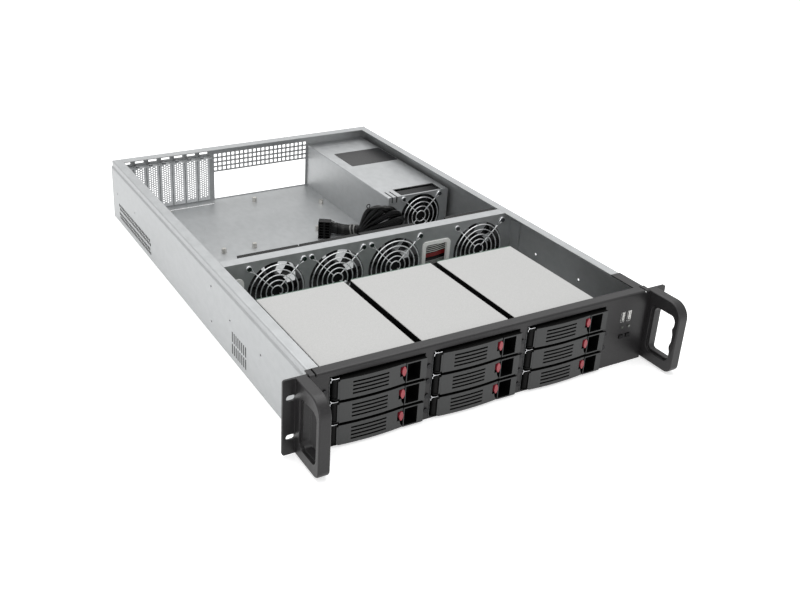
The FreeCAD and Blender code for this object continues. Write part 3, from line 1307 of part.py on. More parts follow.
save("main_power_plug", main_power_plug())
save("harness_hank", harness_hank())
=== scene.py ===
# %% [markdown]
# # A two-unit rack server with its lid off
# The machine is a folded steel tray with a black front. It holds nine drive trays in three boxes, a cross
# wall with four fans, a power supply and its tied harness. The exact solids come from the frame. This lesson
# gives them their finishes, and draws what is too fine for a solid: wire guards, pierced covers, springs,
# wires and lights.

# %% Load the frame
import math
import random

import bmesh
import bpy
from mathutils import Matrix, Vector


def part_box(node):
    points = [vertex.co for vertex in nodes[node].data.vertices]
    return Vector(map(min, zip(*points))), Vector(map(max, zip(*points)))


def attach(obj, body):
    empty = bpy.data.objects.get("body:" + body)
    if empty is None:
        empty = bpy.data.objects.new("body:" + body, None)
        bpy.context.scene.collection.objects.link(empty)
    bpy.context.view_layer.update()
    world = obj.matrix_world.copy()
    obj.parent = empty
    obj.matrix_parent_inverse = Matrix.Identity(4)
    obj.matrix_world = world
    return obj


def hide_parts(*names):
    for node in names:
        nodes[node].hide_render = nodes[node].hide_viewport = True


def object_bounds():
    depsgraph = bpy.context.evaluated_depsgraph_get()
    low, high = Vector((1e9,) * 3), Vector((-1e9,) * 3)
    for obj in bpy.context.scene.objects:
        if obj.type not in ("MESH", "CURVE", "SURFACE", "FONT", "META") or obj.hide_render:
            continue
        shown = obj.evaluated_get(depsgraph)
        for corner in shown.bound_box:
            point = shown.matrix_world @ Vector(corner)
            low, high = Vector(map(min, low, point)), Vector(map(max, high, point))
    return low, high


MM = 0.001
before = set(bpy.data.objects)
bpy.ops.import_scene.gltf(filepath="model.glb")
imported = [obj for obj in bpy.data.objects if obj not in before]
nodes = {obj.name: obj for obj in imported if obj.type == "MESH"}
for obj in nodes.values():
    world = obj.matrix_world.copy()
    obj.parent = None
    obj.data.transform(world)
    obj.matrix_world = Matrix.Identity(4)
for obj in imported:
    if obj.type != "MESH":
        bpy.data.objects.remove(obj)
solid_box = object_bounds()
scene = bpy.context.scene
scene.view_settings.view_transform = "Standard"

# %% [markdown]
# ## Camera
# A product photographer stands at the machine's front left corner and looks down on it. The camera could be
# placed by eye, but the straight edges of the case tell where it stood: its place, turn and focal length here
# were fitted to the corners of the case. A small lens shift moves the picture, as a view camera does.

# %% Camera
IMAGE_W = 800
IMAGE_H = 600
SENSOR = 36.0
CAMERA_AT = Vector((-577.6, -702.5, 582.3)) * MM
LOOK_DOWN = math.radians(24.85)
LOOK_RIGHT = math.radians(27.96)
ROLL = math.radians(1.63)
FOCAL_PX = 980.6
CENTRE_PX = (320, 250)

look = Vector((math.sin(LOOK_RIGHT) * math.cos(LOOK_DOWN),
               math.cos(LOOK_RIGHT) * math.cos(LOOK_DOWN),
               -math.sin(LOOK_DOWN)))
level = look.cross(Vector((0, 0, 1))).normalized()
raised = level.cross(look)
side = math.cos(ROLL) * level + math.sin(ROLL) * raised
upward = math.cos(ROLL) * raised - math.sin(ROLL) * level
camera_data = bpy.data.cameras.new("camera")
camera_data.sensor_width = SENSOR
camera_data.lens = FOCAL_PX / IMAGE_W * SENSOR
camera_data.shift_x = (IMAGE_W / 2 - CENTRE_PX[0]) / IMAGE_W
camera_data.shift_y = (CENTRE_PX[1] - IMAGE_H / 2) / IMAGE_W
camera_data.clip_start = 0.01
camera = bpy.data.objects.new("camera", camera_data)
camera.matrix_world = Matrix.Translation(CAMERA_AT) @ Matrix((side, upward, -look)).transposed().to_4x4()
scene.collection.objects.link(camera)
scene.camera = camera
print("camera lens", round(camera_data.lens, 1), "mm, shift", camera_data.shift_x, camera_data.shift_y)

# %% [markdown]
# ## Colour and node helpers
# A colour is easiest to read as the hex value that a screen shows, but the shader wants linear light, so one
# function turns one into the other. A second one adds a shader node, sets it up and joins its inputs.

# %% Colour and node helpers
def linear(shown):
    """Linear light of a colour written as sRGB hex."""
    parts = [int(shown[place:place + 2], 16) / 255 for place in (1, 3, 5)]
    light = [part / 12.92 if part <= 0.04045 else ((part + 0.055) / 1.055) ** 2.4 for part in parts]
    return (*light, 1.0)


def add(tree, kind, inputs=None, **settings):
    """Add a node, set its properties, and give each named input a value or a link."""
    node = tree.nodes.new(kind)
    for name, value in settings.items():
        setattr(node, name, value)
    for name, value in (inputs or {}).items():
        if isinstance(value, bpy.types.NodeSocket):
            tree.links.new(value, node.inputs[name])
        else:
            node.inputs[name].default_value = value
    return node


# %% [markdown]
# ## Finishes
# Every finish starts from the Principled shader, with its plain values on the shader's own sockets. No real
# surface is quite even, so a noise whose grains have a real size varies colour and roughness a little. A mask
# made from a coordinate, or from the way a face looks, gives a second colour or takes the shine down.

# %% Finish helpers
NOISE_STOPS = (0.36, 0.64)
NOISE_RANGE = (0.3, 0.7)
RELIEF = 0.2 * MM
PLAIN_SHEEN = 0.5


def finish_named(name, colour, metallic, roughness, sheen=PLAIN_SHEEN):
    """A new material with its shader's own sockets set; returns the material, its nodes and its shader."""
    material = bpy.data.materials.new(name)
    material.use_nodes = True
    shader = material.node_tree.nodes["Principled BSDF"]
    shader.inputs["Base Color"].default_value = linear(colour)
    shader.inputs["Metallic"].default_value = metallic
    shader.inputs["Roughness"].default_value = roughness
    shader.inputs["Specular IOR Level"].default_value = sheen
    return material, material.node_tree, shader


def mottle(tree, shader, size_mm, colours, roughness, bump=0.0, stretch=(1, 1, 1)):
    """Vary colour and roughness by a noise whose grains have a real size, with a little bump."""
    place = add(tree, "ShaderNodeTexCoord").outputs["Object"]
    scaled = add(tree, "ShaderNodeMapping", {"Vector": place, "Scale": stretch})
    noise = add(tree, "ShaderNodeTexNoise", {"Vector": scaled.outputs["Vector"], "Scale": 1 / (size_mm * MM),
                                             "Detail": 3.0, "Roughness": 0.6})
    ramp = add(tree, "ShaderNodeValToRGB", {"Fac": noise.outputs["Fac"]})
    for stop, position, colour in zip(ramp.color_ramp.elements, NOISE_STOPS, colours):
        stop.position = position
        stop.color = linear(colour)
    tree.links.new(ramp.outputs["Color"], shader.inputs["Base Color"])
    rough = add(tree, "ShaderNodeMapRange", {"Value": noise.outputs["Fac"],
                                             "From Min": NOISE_RANGE[0], "From Max": NOISE_RANGE[1],
                                             "To Min": roughness[0], "To Max": roughness[1]})
    tree.links.new(rough.outputs["Result"], shader.inputs["Roughness"])
    if bump:
        relief = add(tree, "ShaderNodeBump", {"Height": noise.outputs["Fac"], "Strength": bump,
                                              "Distance": RELIEF})
        tree.links.new(relief.outputs["Normal"], shader.inputs["Normal"])


def two_tone(tree, shader, source, axis, test, edge, shade):
    """Turn to a second colour where a coordinate, or the way a face looks, passes an edge."""
    place = add(tree, "ShaderNodeTexCoord").outputs[source]
    part = add(tree, "ShaderNodeSeparateXYZ", {"Vector": place}).outputs[axis]
    beyond = add(tree, "ShaderNodeMath", {0: part, 1: edge}, operation=test).outputs["Value"]
    first = shader.inputs["Base Color"].links[0].from_socket
    mix = add(tree, "ShaderNodeMix", {0: beyond, 6: first, 7: linear(shade)}, data_type="RGBA")
    tree.links.new(mix.outputs[2], shader.inputs["Base Color"])
    return beyond


def dull(tree, shader, masks, level):
    """Take the shine down to a level where any of the masks is one."""
    where = masks[0]
    for mask in masks[1:]:
        where = add(tree, "ShaderNodeMath", {0: where, 1: mask}, operation="MAXIMUM").outputs["Value"]
    sheen = add(tree, "ShaderNodeMapRange", {"Value": where, "To Min": PLAIN_SHEEN, "To Max": level})
    tree.links.new(sheen.outputs["Result"], shader.inputs["Specular IOR Level"])


def dress(material, *names):
    """Give solids of the frame a finish."""
    for name in names:
        solid = nodes[name]
        solid.data.materials.clear()
        solid.data.materials.append(material)
    print(material.name, "on", len(names), "solids")


# %% [markdown]
# ## Steel sheet
# The case is skin-passed galvanised steel. Its zinc is rolled flat, so the crystals hardly show: the eye sees
# a silver grey with a soft sheen and a faint grain along the rolling direction. A flat grey would look like
# paint, so colour and roughness both follow a noise stretched along the sheet.

# %% Steel sheet
SPANGLE_MM = 9.0
ALONG_SHEET = (1.0, 0.6, 1.0)
zinc_sheet, tree, shader = finish_named("galvanised_steel_rolled", "#AAACAD", 0.7, 0.42)
mottle(tree, shader, SPANGLE_MM, ("#A7A9AA", "#ADAFB0"), (0.4, 0.44), stretch=ALONG_SHEET)
dress(zinc_sheet, "chassis_pan", "fan_wall", "rear_panel")

psu_sheet, tree, shader = finish_named("galvanised_steel_supply", "#B0B2B3", 0.7, 0.44)
mottle(tree, shader, SPANGLE_MM, ("#ACAEAF", "#B3B5B6"), (0.42, 0.47), stretch=ALONG_SHEET)
dress(psu_sheet, "psu_case")

# %% [markdown]
# The drive boxes have pale tops. Their steel is coated with a clear resin over a blasted surface, which
# leaves a dry, finely speckled white grey. The grit is about half a millimetre, drawn twice as coarse so that
# it shows. Their sides get painted shade, near black and dull, so the gaps between them read as black lines
# where shade falls: the way a face looks picks where the painted shade goes.

# %% Blasted steel of the drive boxes
GRIT_MM = 1.1
cage_sheet, tree, shader = finish_named("blasted_steel_resin_coated", "#ACACAB", 0.3, 0.62)
mottle(tree, shader, GRIT_MM, ("#A7A7A6", "#B1B1B0"), (0.58, 0.66), 0.03)
# painted shade: faces that do not look up turn near black and lose their shine
painted_shade_sides = two_tone(tree, shader, "Normal", "Z", "LESS_THAN", 0.5, "#0A0A0A")
dull(tree, shader, [painted_shade_sides], 0.1)
dress(cage_sheet, "drive_cage_left", "drive_cage_centre", "drive_cage_right")

# %% [markdown]
# ## Black coats and plastics
# The front and its handles are powder coated. The melted powder sets with a faint orange peel about a
# millimetre across, which breaks up the reflections into a soft satin grey, and it rounds each edge a little.
# The bezels are grey ABS. Painted shade, near black and dull, covers every face behind their front line and
# every face that does not look forward, so their vents, tops and the gaps between them stay black. The fans
# are glass-filled PBT, blacker and duller.

# %% Black powder coat
PEEL_MM = 1.3
EDGE_ROUND = 0.7 * MM
powder_coat, tree, shader = finish_named("powder_coat_black", "#201F20", 0.0, 0.38, 0.35)
mottle(tree, shader, PEEL_MM, ("#1C1B1C", "#242324"), (0.34, 0.44), 0.14)
rounded = add(tree, "ShaderNodeBevel", {"Radius": EDGE_ROUND}, samples=6)
relief = next(node for node in tree.nodes if node.bl_idname == "ShaderNodeBump")
tree.links.new(rounded.outputs["Normal"], relief.inputs["Normal"])
dress(powder_coat, "front_panel", "handle_left", "handle_right")

# %% Moulded ABS of the bezels and trays
GRAIN_MM = 0.9
SHADE_LINE = -9.9 * MM
bezel_abs, tree, shader = finish_named("abs_grey_with_painted_shade_black", "#2D2E2E", 0.0, 0.52)
mottle(tree, shader, GRAIN_MM, ("#292A2A", "#323333"), (0.48, 0.58), 0.06)
# painted shade: near black and dull behind the front line and on faces that do not look forward
shade_behind_face = two_tone(tree, shader, "Object", "Y", "GREATER_THAN", SHADE_LINE, "#050505")
shade_off_front = two_tone(tree, shader, "Normal", "Y", "GREATER_THAN", -0.5, "#050505")
dull(tree, shader, [shade_behind_face, shade_off_front], 0.12)
dress(bezel_abs, *[name for name in nodes if name.startswith(("lever_", "tray_"))])

# %% Red latch, polycarbonate
latch_red, tree, shader = finish_named("polycarbonate_moulded_red", "#972B36", 0.0, 0.36)
mottle(tree, shader, GRAIN_MM, ("#8E2530", "#A1323E"), (0.32, 0.42), 0.04)
shader.inputs["Coat Weight"].default_value = 0.3
dress(latch_red, *[name for name in nodes if name.startswith("latch_")])

# %% Fans, glass-filled PBT
fan_pbt, tree, shader = finish_named("pbt_glass_filled_black", "#0C0C0D", 0.0, 0.42, 0.22)
mottle(tree, shader, GRAIN_MM, ("#09090A", "#111112"), (0.36, 0.5), 0.06)
dress(fan_pbt, "fan_frames", "psu_fan_frame", "psu_rotor", "fan_rotor_1", "fan_rotor_2", "fan_rotor_3",
      "fan_rotor_4", "psu_inlet", "main_power_plug", "power_button", "reset_button")

# %% [markdown]
# ## Small parts
# The cable edging is natural nylon, milky and a little translucent. The circuit boards are glass epoxy under
# a green solder mask. Screws in the front are blackened steel, and those behind the drives are zinc plated:
# one node holds them all, so the finish changes with the place along the case.

# %% Nylon, boards, ports and lamps
MILKY = 2 * MM
nylon, tree, shader = finish_named("nylon_moulded_natural", "#EDEDEA", 0.0, 0.45)
mottle(tree, shader, GRAIN_MM, ("#E6E6E3", "#F3F3F0"), (0.4, 0.5), 0.05)
shader.inputs["Subsurface Weight"].default_value = 0.15
shader.inputs["Subsurface Radius"].default_value = (MILKY, MILKY, MILKY)
dress(nylon, "cable_grommets")

WEAVE_MM = 1.0
board_mask, tree, shader = finish_named("glass_epoxy_green_mask", "#1F4A33", 0.0, 0.35)
mottle(tree, shader, WEAVE_MM, ("#1A4230", "#285640"), (0.3, 0.42), 0.08)
shader.inputs["Coat Weight"].default_value = 0.4
dress(board_mask, "backplanes", "front_io_board", "psu_board")

port_steel, tree, shader = finish_named("nickel_plated_steel", "#D8D8D6", 1.0, 0.25)
mottle(tree, shader, GRAIN_MM, ("#D0D0CE", "#E2E2E0"), (0.2, 0.32), 0.03)
dress(port_steel, "usb_ports")

lamp, tree, shader = finish_named("epoxy_lamp_smoked", "#565A54", 0.0, 0.18)
mottle(tree, shader, GRAIN_MM, ("#50544E", "#5E625B"), (0.14, 0.22))
shader.inputs["Coat Weight"].default_value = 0.6
dress(lamp, "panel_leds")

TURNING_MM = 0.8
pillar_nickel, tree, shader = finish_named("brass_turned_nickel_plated", "#C9C7C2", 1.0, 0.3)
mottle(tree, shader, TURNING_MM, ("#BDBBB6", "#D6D4CF"), (0.24, 0.36), 0.05, (1, 1, 4))
dress(pillar_nickel, "standoffs")

# %% Screws, blackened in front and zinc plated behind
ZINC_FROM = 200 * MM
screw_steel, tree, shader = finish_named("steel_blackened_or_zinc", "#303031", 1.0, 0.22)
mottle(tree, shader, GRAIN_MM, ("#2A2A2B", "#363637"), (0.18, 0.26))
two_tone(tree, shader, "Object", "Y", "GREATER_THAN", ZINC_FROM, "#7C7E80")
dress(screw_steel, "screws")

# %% Chrome wire and spring steel
PLATING_MM = 2.0
DRAWING_MM = 1.0
BLUEING_MM = 4.0
chrome, tree, shader = finish_named("chrome_plated_wire", "#EEF0F1", 0.85, 0.3)
mottle(tree, shader, PLATING_MM, ("#E8EAEB", "#F4F5F6"), (0.26, 0.34))
spring_steel, tree, shader = finish_named("spring_steel_bright", "#D5D6D8", 1.0, 0.22)
mottle(tree, shader, DRAWING_MM, ("#C8C9CB", "#E0E1E3"), (0.18, 0.3))
strip_steel, tree, shader = finish_named("spring_steel_sheet_blued", "#5C5D5E", 0.9, 0.45)
mottle(tree, shader, BLUEING_MM, ("#505152", "#696A6B"), (0.38, 0.52))
print(len(bpy.data.materials), "materials")

# %% [markdown]
# ## Wire guards
# Each fan hides behind a guard of chromed wire: rings welded to four arms that end in screw eyes. A curve
# with a round bevel is the natural way to draw wire, and it is turned into a mesh once it is right.

# %% Wire guards
WIRE = 1.5 * MM
RING_LIFT = 0.9 * WIRE
RING_STEPS = 64
EYE_R = 3.0 * MM
EYE_STEPS = 10
EYE_LONG = 10.0 * MM


def wire_mesh(name, runs, thickness, closed=None):
    """Mesh of round wires that follow lists of points; closed says which of them join up."""
    curve = bpy.data.curves.new(name, "CURVE")
    curve.dimensions = "3D"
    curve.bevel_depth = thickness / 2
    curve.bevel_resolution = 2
    curve.use_fill_caps = True
    for points, is_closed in zip(runs, closed or [False] * len(runs)):
        spline = curve.splines.new("POLY")
        spline.points.add(len(points) - 1)
        for point, at in zip(spline.points, points):
            point.co = (*at, 1)
        spline.use_cyclic_u = is_closed
    temporary = bpy.data.objects.new(name, curve)
    mesh = bpy.data.meshes.new_from_object(temporary)
    bpy.data.objects.remove(temporary)
    bpy.data.curves.remove(curve)
    mesh.name = name
    mesh.shade_smooth()
    return mesh


def piece(name, mesh, material, body="chassis"):
    """A visible object from a mesh, with its finish, riding on a body."""
    thing = bpy.data.objects.new(name, mesh)
    scene.collection.objects.link(thing)
    mesh.materials.clear()
    mesh.materials.append(material)
    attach(thing, body)
    return thing


def guard_runs(x, z, seat, radii, span):
    """Points of the rings, arms and eyes of one guard whose arms lie on the plane y = seat."""
    arm_y = seat - WIRE / 2
    ring_y = arm_y - RING_LIFT
    turns = [index * math.tau / RING_STEPS for index in range(RING_STEPS)]
    half_turn = [index * math.pi / EYE_STEPS - math.pi / 2 for index in range(EYE_STEPS + 1)]
    runs = []
    closed = []
    for radius in radii:
        runs.append([(x + radius * math.cos(turn), ring_y, z + radius * math.sin(turn)) for turn in turns])
        closed.append(True)
    reach = span / math.sqrt(2)
    for quarter in range(4):
        turn = math.pi / 4 + quarter * math.pi / 2
        way = Vector((math.cos(turn), 0, math.sin(turn)))
        hole = Vector((x, arm_y, z)) + way * reach
        across = Vector((-way.z, 0, way.x))
        runs.append([Vector((x, arm_y, z)) + way * (radii[-1] - WIRE), hole - way * EYE_LONG])
        closed.append(False)
        outer = [hole + EYE_R * (math.cos(a) * way + math.sin(a) * across) for a in half_turn]
        runs.append([hole - way * EYE_LONG] + outer)
        closed.append(True)
    return runs, closed


FAN_XS = [sum(corner.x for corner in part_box("fan_rotor_%d" % number)) / 2 for number in range(1, 5)]
FAN_Z = 44 * MM
FAN_SEAT = 243.5 * MM
FAN_SPAN = 71.5 * MM
FAN_RADII = [radius * MM for radius in (35.0, 28.1, 21.2, 14.3, 7.4)]
PSU_FAN = (162.1 * MM, 36.2 * MM)
PSU_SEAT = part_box("psu_case")[0].y
PSU_SPAN = 60 * MM
PSU_RADII = [radius * MM for radius in (28.6, 21.7, 14.8, 7.9)]

for number, x in enumerate(FAN_XS, start=1):
    runs, closed = guard_runs(x, FAN_Z, FAN_SEAT, FAN_RADII, FAN_SPAN)
    guard = piece("wire_guard_%d" % number, wire_mesh("wire_guard", runs, WIRE, closed), chrome)
    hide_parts("finger_guards")
runs, closed = guard_runs(*PSU_FAN, PSU_SEAT, PSU_RADII, PSU_SPAN)
psu_guard = piece("wire_guard_supply", wire_mesh("wire_guard", runs, WIRE, closed), chrome)
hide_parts("finger_guards")
print("five wire guards,", len(psu_guard.data.vertices), "points in the smallest")

# %% [markdown]
# ## Power harness
# Black wires leave the supply, fold back in a tall fan of spare length, are tied, and run through a taped
# stretch into the board plug on the floor. The course of the bundle is written down as stations: the place of
# its middle, its half width and half height, the direction in which it travels in degrees, and how uneven it
# is, all in millimetres. Between the two ends the wires fold along an arc that runs from the lowest fold at
# the right, over the top, to the left.

# %% Course of the harness
WIRE_ROWS = 8
WIRE_COLUMNS = 5
LEAD = 3.1 * MM
LEAD_SEED = 11
FLOOR_CLEAR = 3.1
SUPPLY_END = (
    (117.6, 386.2, 37.2, 5.2, 5.2, -90, 0.0),
    (117.4, 382.5, 36.5, 5.6, 6.5, -92, 0.0),
)
TIED_END = (
    (82.6, 414.0, 13.5, 7.2, 8.4, -255, 0.5),
    (82.5, 422.5, 10.6, 6.6, 7.0, -243, 0.2),
    (76.5, 432.0, 9.4, 6.3, 6.0, -228, 0.1),
    (67.0, 440.5, 9.2, 6.2, 5.8, -216, 0.1),
    (55.5, 448.3, 10.4, 6.0, 6.8, -196, 0.2),
    (46.5, 450.6, 12.6, 6.0, 8.8, -160, 0.1),
    (41.4, 449.2, 14.6, 6.0, 9.8, -130, 0.0),
)
FOLDS = ((114.0, 367.5, 9.0), (118.5, 366.5, 20.0), (120.5, 366.0, 32.0), (118.5, 367.0, 44.0),
         (111.5, 369.5, 55.0), (100.0, 373.0, 63.5), (87.0, 377.5, 64.0), (76.5, 383.0, 62.5))
FOLD_HALF = 9.5
FOLD_RISE = 2.4
FOLD_DEEP = 2.2
FOLD_WAY = Vector((-0.35, -1.0, 0.0))
FOLD_LOOSE = 0.8
print(len(SUPPLY_END) + len(TIED_END), "stations and", len(FOLDS), "places on the arc of folds")

# %% [markdown]
# Each wire is its own smooth curve: a spline needs only the points where the bundle changes direction, and
# draws the bends between them by itself. Its length is measured along the line that the finished curve takes.

# %% One wire as a curve
SLEEVE_MM = 3.0
wire_pvc, tree, shader = finish_named("pvc_extruded_black", "#0F0F0F", 0.0, 0.34, 0.25)
mottle(tree, shader, SLEEVE_MM, ("#0A0A0A", "#181818"), (0.28, 0.4))


def route_curve(name, points, thickness):
    """Smooth round run through space with few control points."""
    curve = bpy.data.curves.new(name, "CURVE")
    curve.dimensions = "3D"
    curve.bevel_depth = thickness / 2
    curve.bevel_resolution = 3
    curve.use_fill_caps = True
    curve.resolution_u = 5
    spline = curve.splines.new("NURBS")
    spline.points.add(len(points) - 1)
    for point, at in zip(spline.points, points):
        point.co = (*at, 1)
    spline.order_u = 3
    spline.use_endpoint_u = True
    return curve


def followed(curve):
    """Points that the curve's own line passes through."""
    plain = curve.copy()
    plain.bevel_depth = 0
    temporary = bpy.data.objects.new("followed", plain)
    mesh = bpy.data.meshes.new_from_object(temporary)
    points = [vertex.co.copy() for vertex in mesh.vertices]
    bpy.data.objects.remove(temporary)
    bpy.data.meshes.remove(mesh)
    bpy.data.curves.remove(plain)
    return points


def run_length(points):
    """Length of the line through the points."""
    return sum((after - before).length for before, after in zip(points, points[1:]))


# %% [markdown]
# At each station the wires sit on a small grid, drawn in to a round bundle. In the fan every wire folds at
# its own place along the arc, so that they spread from the tie like ribs. A little seeded unevenness keeps
# them from looking combed.

# %% Laying the wires
def in_disc(u, v):
    """A place on the square from -1 to 1, drawn in to a round bundle."""
    return u * math.sqrt(1 - v * v / 2), v * math.sqrt(1 - u * u / 2)


def passing(station, across, high):
    """Where one wire passes a station of the bundle, in millimetres."""
    x, y, z, half_w, half_h, heading, loose = station
    side_way = Vector((-math.sin(math.radians(heading)), math.cos(math.radians(heading)), 0))
    at = Vector((x, y, z)) + side_way * (across * half_w + chance.uniform(-loose, loose))
    at.z = max(at.z + high * half_h + chance.uniform(-loose, loose), FLOOR_CLEAR)
    return at


def folded(part, u):
    """Three points of a wire's fold; part is its place along the arc, u its place in the fan's depth."""
    step = part * (len(FOLDS) - 1)
    before = min(int(step), len(FOLDS) - 2)
    fold = Vector(FOLDS[before]).lerp(Vector(FOLDS[before + 1]), step - before)
    fold += Vector([chance.uniform(-FOLD_LOOSE, FOLD_LOOSE) for axis in range(3)])
    fold += FOLD_WAY * u * FOLD_DEEP
    coming = (Vector(SUPPLY_END[-1][:3]) - fold).normalized()
    going = (Vector(TIED_END[0][:3]) - fold).normalized()
    along = (going - coming).normalized() * FOLD_HALF
    outward = (going + coming).normalized() * -FOLD_RISE
    points = [fold - along - outward, fold + outward, fold + along - outward]
    for point in points:
        point.z = max(point.z, FLOOR_CLEAR)
    return points


chance = random.Random(LEAD_SEED)
leads = []
for row in range(WIRE_ROWS):
    for column in range(WIRE_COLUMNS):
        u = 2 * column / (WIRE_COLUMNS - 1) - 1
        v = 2 * row / (WIRE_ROWS - 1) - 1
        across, high = in_disc(u, v)
        place_in_fan = (row * WIRE_COLUMNS + column) / (WIRE_ROWS * WIRE_COLUMNS - 1)
        route = [passing(station, across, high) for station in SUPPLY_END] + folded(place_in_fan, u)
        route += [passing(station, across, high) for station in TIED_END]
        points = [point * MM for point in route]
        curve = route_curve("lead", points, LEAD)
        lead = bpy.data.objects.new("lead_%02d" % (len(leads) + 1), curve)
        scene.collection.objects.link(lead)
        curve.materials.append(wire_pvc)
        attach(lead, "chassis")
        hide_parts("harness_hank")
        length = run_length(followed(curve))
        leads.append(round(length / MM))
print(len(leads), "wires,", min(leads), "to", max(leads), "mm long")

# %% [markdown]
# The taped stretch and its ties are made like the wires, from the bundle's own stations: a ring of points
# round each place on the middle line, joined to the next ring. Tape laid by hand has lumps, so the rings vary
# a little in size. The ties are narrow flat bands of grey and black nylon, pulled slightly askew.

# %% Tape and ties of the harness
TAPE_STEPS = 20
TAPE_ROOM = 1.7
TAPE_LUMP = 0.4
TAPE_RINGS = 4
SEATED = 0.7
TAPE_FROM = 1
TAPE_TO = 4
BAND_W = 2.2
BAND_T = 0.7
BLACK_TILT = 1.0
GREY_TILT = 3.5
GREY_TIES_AT = (0.2, 0.8)
CLOTH_MM = 1.5


def ring_round(station, room, tilt=0.0, shift=0.0):
    """Points round the bundle at a station, square to its travel or askew; in metres."""
    x, y, z, half_w, half_h, heading = station[:6]
    ahead = Vector((math.cos(math.radians(heading)), math.sin(math.radians(heading)), 0))
    side_way = Vector((-ahead.y, ahead.x, 0))
    points = []
    for index in range(TAPE_STEPS):
        turn = index * math.tau / TAPE_STEPS
        lean = math.sin(turn) * tilt + shift
        at = Vector((x, y, z)) + side_way * math.cos(turn) * (half_w + room) + ahead * lean
        at.z = max(z + math.sin(turn) * (half_h + room), FLOOR_CLEAR - room * SEATED)
        points.append(at * MM)
    return points


def skin(name, rings, looped):
    """Mesh over rings of points; open ends are closed by flat faces."""
    shell = bmesh.new()
    rows = [[shell.verts.new(point) for point in ring] for ring in rings]
    count = len(rows[0])
    pairs = list(zip(rows, rows[1:]))
    if looped:
        pairs.append((rows[-1], rows[0]))
    else:
        shell.faces.new(rows[0])
        shell.faces.new(reversed(rows[-1]))
    for before, after in pairs:
        for index in range(count):
            following = (index + 1) % count
            shell.faces.new((before[following], before[index], after[index], after[following]))
    bmesh.ops.recalc_face_normals(shell, faces=shell.faces)
    mesh = bpy.data.meshes.new(name)
    shell.to_mesh(mesh)
    shell.free()
    mesh.shade_smooth()
    return mesh


def between(first, second, part):
    """A station part of the way from one to another."""
    return tuple(a + (b - a) * part for a, b in zip(first, second))


def tie(name, station, material, tilt):
    """Flat band round the bundle: four rings of points skinned in a loop."""
    rings = [ring_round(station, TAPE_ROOM + room, tilt, shift)
             for room, shift in ((0, 0), (BAND_T, 0), (BAND_T, BAND_W), (0, BAND_W))]
    band = piece(name, skin(name, rings, True), material)
    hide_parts("harness_hank")


tape, tree, shader = finish_named("polyester_cloth_tape_black", "#0A0A0A", 0.0, 0.55, 0.2)
mottle(tree, shader, CLOTH_MM, ("#070707", "#101010"), (0.48, 0.64), 0.2)
# the ties' grey nylon; the same finish is the painted highlight of the grey leads below
grey_tie_and_highlight, tree, shader = finish_named("nylon_tie_grey_and_painted_highlight", "#6E6E6C", 0.0, 0.4)
mottle(tree, shader, GRAIN_MM, ("#676765", "#757573"), (0.36, 0.46), 0.03)

rings = []
for index in range(TAPE_FROM, TAPE_TO):
    for step in range(TAPE_RINGS):
        station = between(TIED_END[index], TIED_END[index + 1], step / TAPE_RINGS)
        rings.append(ring_round(station, TAPE_ROOM + chance.uniform(-TAPE_LUMP, TAPE_LUMP)))
sleeve = piece("harness_tape", skin("harness_tape", rings, False), tape)
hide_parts("harness_hank")
tie("harness_tie_black", TIED_END[0], fan_pbt, BLACK_TILT)
for number, part in enumerate(GREY_TIES_AT, start=1):
    station = between(TIED_END[TAPE_FROM], TIED_END[TAPE_FROM + 1], part)
    tie("harness_tie_grey_%d" % number, station, grey_tie_and_highlight, GREY_TILT)
print("tape over", len(rings), "rings, and three ties")

# %% [markdown]
# The end of a tie stands up at the fan's left as a small loop on a stem. Between tape and plug three pale
# grey wires, one above the other, are painted highlight: the sheen on the black wires there. The points are
# again in millimetres.

# %% Tie's end and painted highlights on the leads
LOOP_AT = Vector((74.8, 386.5, 64.6))
LOOP_R = (2.6, 2.8)
STEM = ((75.2, 386.5, 61.8), (77.5, 389.0, 54.0))
TAIL_WIRE = 1.2 * MM
HIGHLIGHT_RUN = ((42.6, 448.6, 0.0), (47.5, 449.6, 0.6), (55.0, 447.2, -3.4))
HIGHLIGHT_HEIGHTS = (19.5, 21.8, 24.0)
HIGHLIGHT_WIRE = 1.4 * MM

turns = [index * math.tau / TAPE_STEPS for index in range(TAPE_STEPS)]
loop = [(LOOP_AT + Vector((LOOP_R[0] * math.cos(turn), 0, LOOP_R[1] * math.sin(turn)))) * MM
        for turn in turns]
stem = [Vector(at) * MM for at in STEM]
tie_tail = piece("harness_tie_tail", wire_mesh("harness_tie_tail", [loop, stem], TAIL_WIRE, [True, False]),
                 fan_pbt)
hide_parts("harness_hank")
# painted highlight: three pale grey wires stand in for the sheen on the black wires
pale = [[Vector((x, y, height + rise)) * MM for x, y, rise in HIGHLIGHT_RUN] for height in HIGHLIGHT_HEIGHTS]
lead_highlight_piece = piece("harness_lead_highlights", wire_mesh("harness_lead_highlights", pale, HIGHLIGHT_WIRE), grey_tie_and_highlight)
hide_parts("harness_hank")
print("a tie's end and", len(pale), "grey leads")

# %% [markdown]
# ## Pierced slot covers
# The seven expansion slots are closed by steel strips pierced with four staggered columns of round holes.
# Cutting nearly seventy holes in each with booleans is slow. A flat curve with the holes as inner loops
# fills itself, and its extrusion gives the sheet its thickness.

